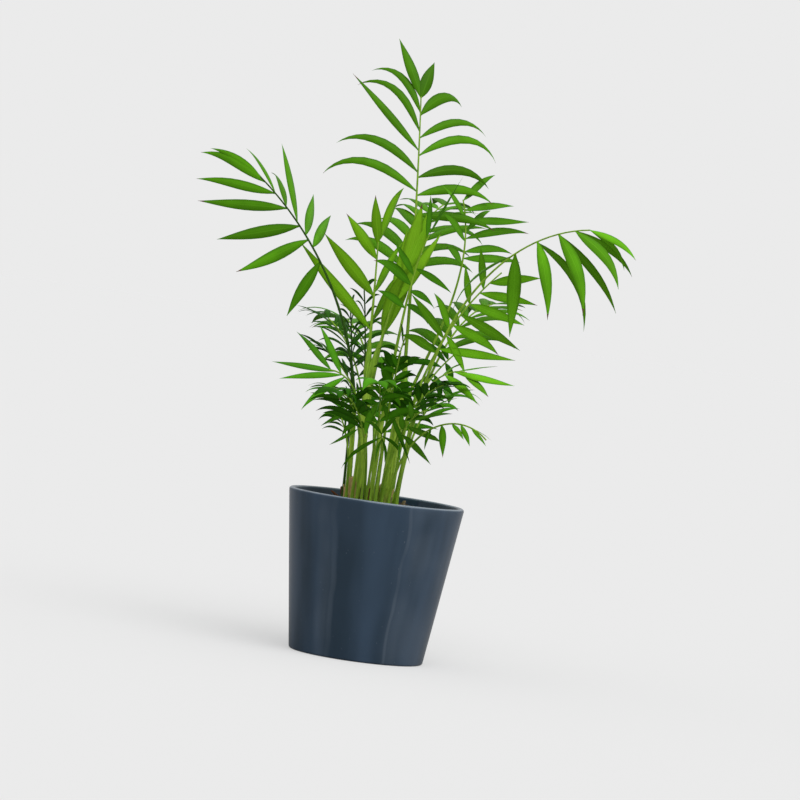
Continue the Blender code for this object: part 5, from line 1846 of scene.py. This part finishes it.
@dataclass(frozen=True)
class PottingMix:
    """The root ball and what lies on it: crumbs, chips of bark and coir strands."""

    pot: GlazedPot
    flat_radius: float = 0.034
    drop: float = 0.0100
    shoulder_steps: int = 3
    clear: float = 0.0006
    sides: int = 96
    rows: int = 34
    rough: float = 0.0013
    crumbs: float = 130000.0
    chips: float = 9000.0
    strands: int = 46

    def wall(self, height: float) -> float:
        """The radius just clear of the pot's inside at a height."""
        return self.pot.outside(height) - self.pot.wall - self.clear

    def level(self, radius: float) -> float:
        """The height of the surface at a distance from the axis."""
        edge = self.wall(GROWTH.mix_top - self.drop)
        share = min(max((radius - self.flat_radius) / (edge - self.flat_radius), 0.0), 1.0)
        return GROWTH.mix_top - self.drop * (1 - math.cos(math.pi / 2 * share))

    def solid(self) -> Solid:
        """The plain root ball that others keep clear of."""
        low = self.pot.floor + GROWTH.seat_gap
        edge_height = GROWTH.mix_top - self.drop
        foot = self.pot.foot_edge
        profile = [(0.0, low), (self.wall(low) - foot - self.clear, low), (self.wall(edge_height), edge_height)]
        for step in range(self.shoulder_steps - 1, -1, -1):
            share = step / self.shoulder_steps
            profile.append((
                self.flat_radius + (self.wall(edge_height) - self.flat_radius) * share,
                GROWTH.mix_top - self.drop * (1 - math.cos(math.pi / 2 * share)),
            ))
        profile.append((0.0, GROWTH.mix_top))
        return turned(profile, 28)

    def build(self) -> bpy.types.Object:
        """The mix as one closed body with a lumpy top."""
        builder = MeshBuilder("potting_mix")
        edge_height = GROWTH.mix_top - self.drop
        edge, low = self.wall(edge_height), self.pot.floor + GROWTH.seat_gap
        radii = [(self.wall(low) - 0.004, low), (self.wall(0.06), 0.06)]
        radii += [(edge * (1 - row / self.rows), None) for row in range(self.rows)]
        rows = []
        for radius, height in radii:
            row = []
            for index in range(self.sides):
                outward = heading(360.0 * index / self.sides)
                spot = outward * radius
                if height is None:
                    lump = noise.fractal(Vector((spot.x * 90, spot.y * 90, 2.0)), 0.7, 2.0, 4)
                    spot.z = self.level(radius) + lump * self.rough - 0.0004
                else:
                    spot.z = height
                row.append(spot)
            rows.append(row)
        builder.grid(rows)
        builder.cap(0, self.sides, Vector((0.0, 0.0, low)), True)
        builder.cap((len(rows) - 1) * self.sides, self.sides, Vector((0.0, 0.0, GROWTH.mix_top)), False)
        return builder.piece(POTTING_MIX)

    def top(self) -> bpy.types.Mesh:
        """The open surface that crumbs are scattered on, a little inside the pot's wall."""
        builder = MeshBuilder("mix_top")
        edge = self.wall(GROWTH.mix_top - self.drop) - 0.0022
        rows = []
        for row in range(12):
            radius = edge * (1 - row / 12)
            rows.append([
                heading(360.0 * index / 48) * radius + UP * self.level(radius) for index in range(48)
            ])
        builder.grid(rows)
        builder.cap(11 * 48, 48, UP * GROWTH.mix_top, False)
        return builder.mesh()

    @staticmethod
    def crumb(name: str, stretch: Sequence[float], seed: int) -> bpy.types.Object:
        """A lump of twenty faces about one unit long, uneven by its seed."""
        shape = bmesh.new()
        bmesh.ops.create_icosphere(shape, subdivisions=1, radius=0.5)
        rng = random.Random(seed)
        for vertex in shape.verts:
            vertex.co = Vector(
                part * wide * rng.uniform(0.72, 1.18) for part, wide in zip(vertex.co, stretch)
            )
        mesh = bpy.data.meshes.new(name)
        shape.to_mesh(mesh)
        shape.free()
        return linked(name, mesh)

    def scatter(self) -> list[bpy.types.Object]:
        """The crumbs and the chips, each kind as one piece."""
        tree = ScatterTree("scattered_crumbs")
        kinds = (
            ("mix_crumbs", (1.0, 0.8, 0.7), self.crumbs, 0.0009, 0.0030, 0.9, 0.0004, 3, POTTING_MIX),
            ("bark_chips", (1.0, 0.55, 0.28), self.chips, 0.0035, 0.0085, 0.35, 0.0006, 8, DARK_BARK),
            ("red_chips", (1.0, 0.50, 0.25), self.chips * 0.45, 0.0035, 0.0095, 0.30, 0.0003, 12, RED_BARK),
        )
        made = []
        for name, stretch, density, smallest, largest, tilt, sunk, seed, finish in kinds:
            crumb = self.crumb(name + "_shape", stretch, seed)
            made.append(tree.run(name, self.top(), {
                "Crumb": crumb,
                "Density": density,
                "Smallest": smallest,
                "Largest": largest,
                "Tilt": tilt,
                "Sunk": sunk,
                "Seed": seed,
                "Finish 0": finish.material(),
            }))
            bpy.data.objects.remove(crumb)
        return made

    def build_strands(self) -> bpy.types.Object:
        """Coir strands that lie curled on the mix."""
        builder = MeshBuilder("strand_lines")
        rng = random.Random(31)
        for _ in range(self.strands):
            radius, turn = 0.055 * math.sqrt(rng.random()), rng.uniform(0, 360)
            spot, way = heading(turn) * radius, rng.uniform(0, 360)
            curl, length = rng.uniform(-22, 22), rng.uniform(0.008, 0.020)
            points = []
            for step in range(9):
                level = self.level(min(spot.length, 0.060))
                points.append(Vector((spot.x, spot.y, level + 0.0006 + 0.0011 * math.sin(math.pi * step / 8))))
                spot = spot + heading(way) * length / 8
                way += curl
            builder.line(
                points,
                facing=[UP.copy()] * 9,
                half_width=[0.00022 * (1.0 - 0.6 * abs(step / 4 - 1)) for step in range(9)],
                along=[step / 8 for step in range(9)],
                tint=[0.0] * 9,
            )
        outline = [(math.cos(math.tau * side / 5), math.sin(math.tau * side / 5)) for side in range(5)]
        profile = profile_object("strand_outline", outline)
        tree = SweepTree("swept_strands", 1, False)
        piece = tree.run(
            "coir_strands", builder.mesh(), {"Profile": profile, "Width": 1.0, "Finish 0": COIR.material()}
        )
        bpy.data.objects.remove(profile)
        return piece


# The studio

@dataclass(frozen=True)
class Studio:
    """The camera at the photo's angle, a pale floor under a pale surround, and soft lights."""

    target: tuple[float, float, float] = (0.008, 0.0, 0.2157)
    eye: tuple[float, float, float] = (0.008, -3.2, 0.296)
    roll: float = 7.8
    wide_at_target: float = 0.664
    surround: float = 0.83
    fill_low: float = 0.42
    fill_high: float = 0.66
    floor_colour: float = 0.40
    floor_glow: float = 0.43
    floor_bounce: float = 0.40
    floor_radius: float = 40.0
    key_azimuth: float = 300.0
    key_height: float = 58.0
    key_spread: float = 55.0

    def camera(self) -> bpy.types.Object:
        """The camera, rolled so that the pot leans to the right in the picture."""
        data = bpy.data.cameras.new("camera")
        made = bpy.data.objects.new("camera", data)
        bpy.context.scene.collection.objects.link(made)
        target, eye = Vector(self.target), Vector(self.eye)
        forward = (target - eye).normalized()
        level = forward.cross(UP).normalized()
        upright = level.cross(forward)
        turn = math.radians(self.roll)
        right = level * math.cos(turn) + upright * math.sin(turn)
        back = -forward
        up = back.cross(right)
        made.matrix_world = Matrix((
            (right.x, up.x, back.x, eye.x),
            (right.y, up.y, back.y, eye.y),
            (right.z, up.z, back.z, eye.z),
            (0.0, 0.0, 0.0, 1.0),
        ))
        data.lens = data.sensor_width * (target - eye).length / self.wide_at_target
        data.clip_start, data.clip_end = 0.05, 200.0
        bpy.context.scene.camera = made
        return made

    def surroundings(self) -> None:
        """A world that shows as one pale tone and lights more from above than from the sides."""
        world = bpy.data.worlds.new("studio")
        bpy.context.scene.world = world
        world.use_nodes = True
        graph = NodeGraph(world.node_tree)
        for node in list(world.node_tree.nodes):
            world.node_tree.nodes.remove(node)
        way = graph.add("ShaderNodeTexCoord").outputs["Generated"]
        rise = graph.signal(graph.add("ShaderNodeSeparateXYZ", {}, {0: way}), "Z")
        fill = rise.at_least(0.0) * (self.fill_high - self.fill_low) + self.fill_low
        lit = graph.add("ShaderNodeBackground", {}, {"Color": (1.0, 1.0, 1.0), "Strength": fill})
        seen = graph.add("ShaderNodeBackground", {}, {"Color": (1.0, 1.0, 1.0), "Strength": self.surround})
        direct = graph.add("ShaderNodeLightPath").outputs["Is Camera Ray"]
        chosen = graph.add("ShaderNodeMixShader", {}, {0: direct, 1: lit.outputs[0], 2: seen.outputs[0]})
        graph.add("ShaderNodeOutputWorld", {}, {"Surface": chosen.outputs[0]})

    def floor(self) -> bpy.types.Object:
        """A plain pale floor that runs out of sight and throws back less light than it shows."""
        builder = MeshBuilder("studio_floor")
        builder.grid([
            [heading(360.0 * index / 64) * radius - UP * 0.0002 for index in range(64)]
            for radius in (self.floor_radius, 4.0)
        ])
        builder.cap(64, 64, UP * -0.0002, False)
        finish = Finish("studio_floor", (self.floor_colour,) * 3, 0.9, 0.0)
        made = builder.piece(finish)
        graph = NodeGraph(finish.material().node_tree)
        shown = graph.tree.nodes["Principled BSDF"]
        shown.inputs["Emission Color"].default_value = (1.0, 1.0, 1.0, 1.0)
        shown.inputs["Emission Strength"].default_value = self.floor_glow
        dim = graph.add("ShaderNodeBsdfDiffuse", {}, {"Color": (self.floor_bounce,) * 3})
        direct = graph.add("ShaderNodeLightPath").outputs["Is Camera Ray"]
        chosen = graph.add("ShaderNodeMixShader", {}, {0: direct, 1: dim.outputs[0], 2: shown.outputs[0]})
        graph.feed(graph.tree.nodes["Material Output"].inputs["Surface"], chosen.outputs[0])
        return made

    def lights(self) -> None:
        """A soft key from above on the right, whose light on the floor meets the surround's tone."""
        key = bpy.data.lights.new("key", "SUN")
        key.angle = math.radians(self.key_spread)
        fill_on_floor = self.fill_low + (self.fill_high - self.fill_low) * 2.0 / 3.0
        needed = math.pi * ((self.surround - self.floor_glow) / self.floor_colour - fill_on_floor)
        key.energy = needed / math.sin(math.radians(self.key_height))
        key.color = (1.0, 1.0, 1.0)
        made = bpy.data.objects.new("key", key)
        bpy.context.scene.collection.objects.link(made)
        height = math.radians(self.key_height)
        towards = heading(self.key_azimuth) * math.cos(height) + UP * math.sin(height)
        made.rotation_mode = "QUATERNION"
        made.rotation_quaternion = towards.to_track_quat("Z", "Y")

    def build(self) -> None:
        """Sets up the camera, the surroundings, the floor and the lights."""
        bpy.context.scene.view_settings.view_transform = "Standard"
        self.camera()
        self.surroundings()
        self.floor()
        self.lights()


def main() -> None:
    """Builds the studio and the palm, piece by piece, from the pot up."""
    logging.basicConfig(level=logging.INFO, format="%(name)s: %(message)s")
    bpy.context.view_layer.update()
    studio = Studio()
    studio.build()

    pot = GlazedPot()
    mix = PottingMix(pot)
    settle(pot.build(), ["pot"])
    settle(mix.build(), ["root_ball"])
    for piece in mix.scatter():
        settle(piece)
    settle(mix.build_strands())

    clump = Clump()
    for cane in clump.canes:
        settle(cane.build(), [cane.name])
    clump.place(pot.solid(), mix.solid())
    stalk_nodes = [name for frond, _ in clump.posed for name in frond.stalk_nodes()]
    settle(clump.build_stalks((STALK_SKIN, PALE_STALK, DARK_STALK)), stalk_nodes)
    settle(clump.build_sheaths())
    bases = OldBases(clump.by_name())
    settle(bases.build_stubs())
    settle(bases.build_wraps())
    for kind in Kind:
        nodes = [name for frond, _ in clump.posed if frond.kind is kind for name in frond.nodes()]
        settle(clump.build_leaves(kind), nodes)

    bpy.context.view_layer.update()


if __name__ == "__main__":
    main()
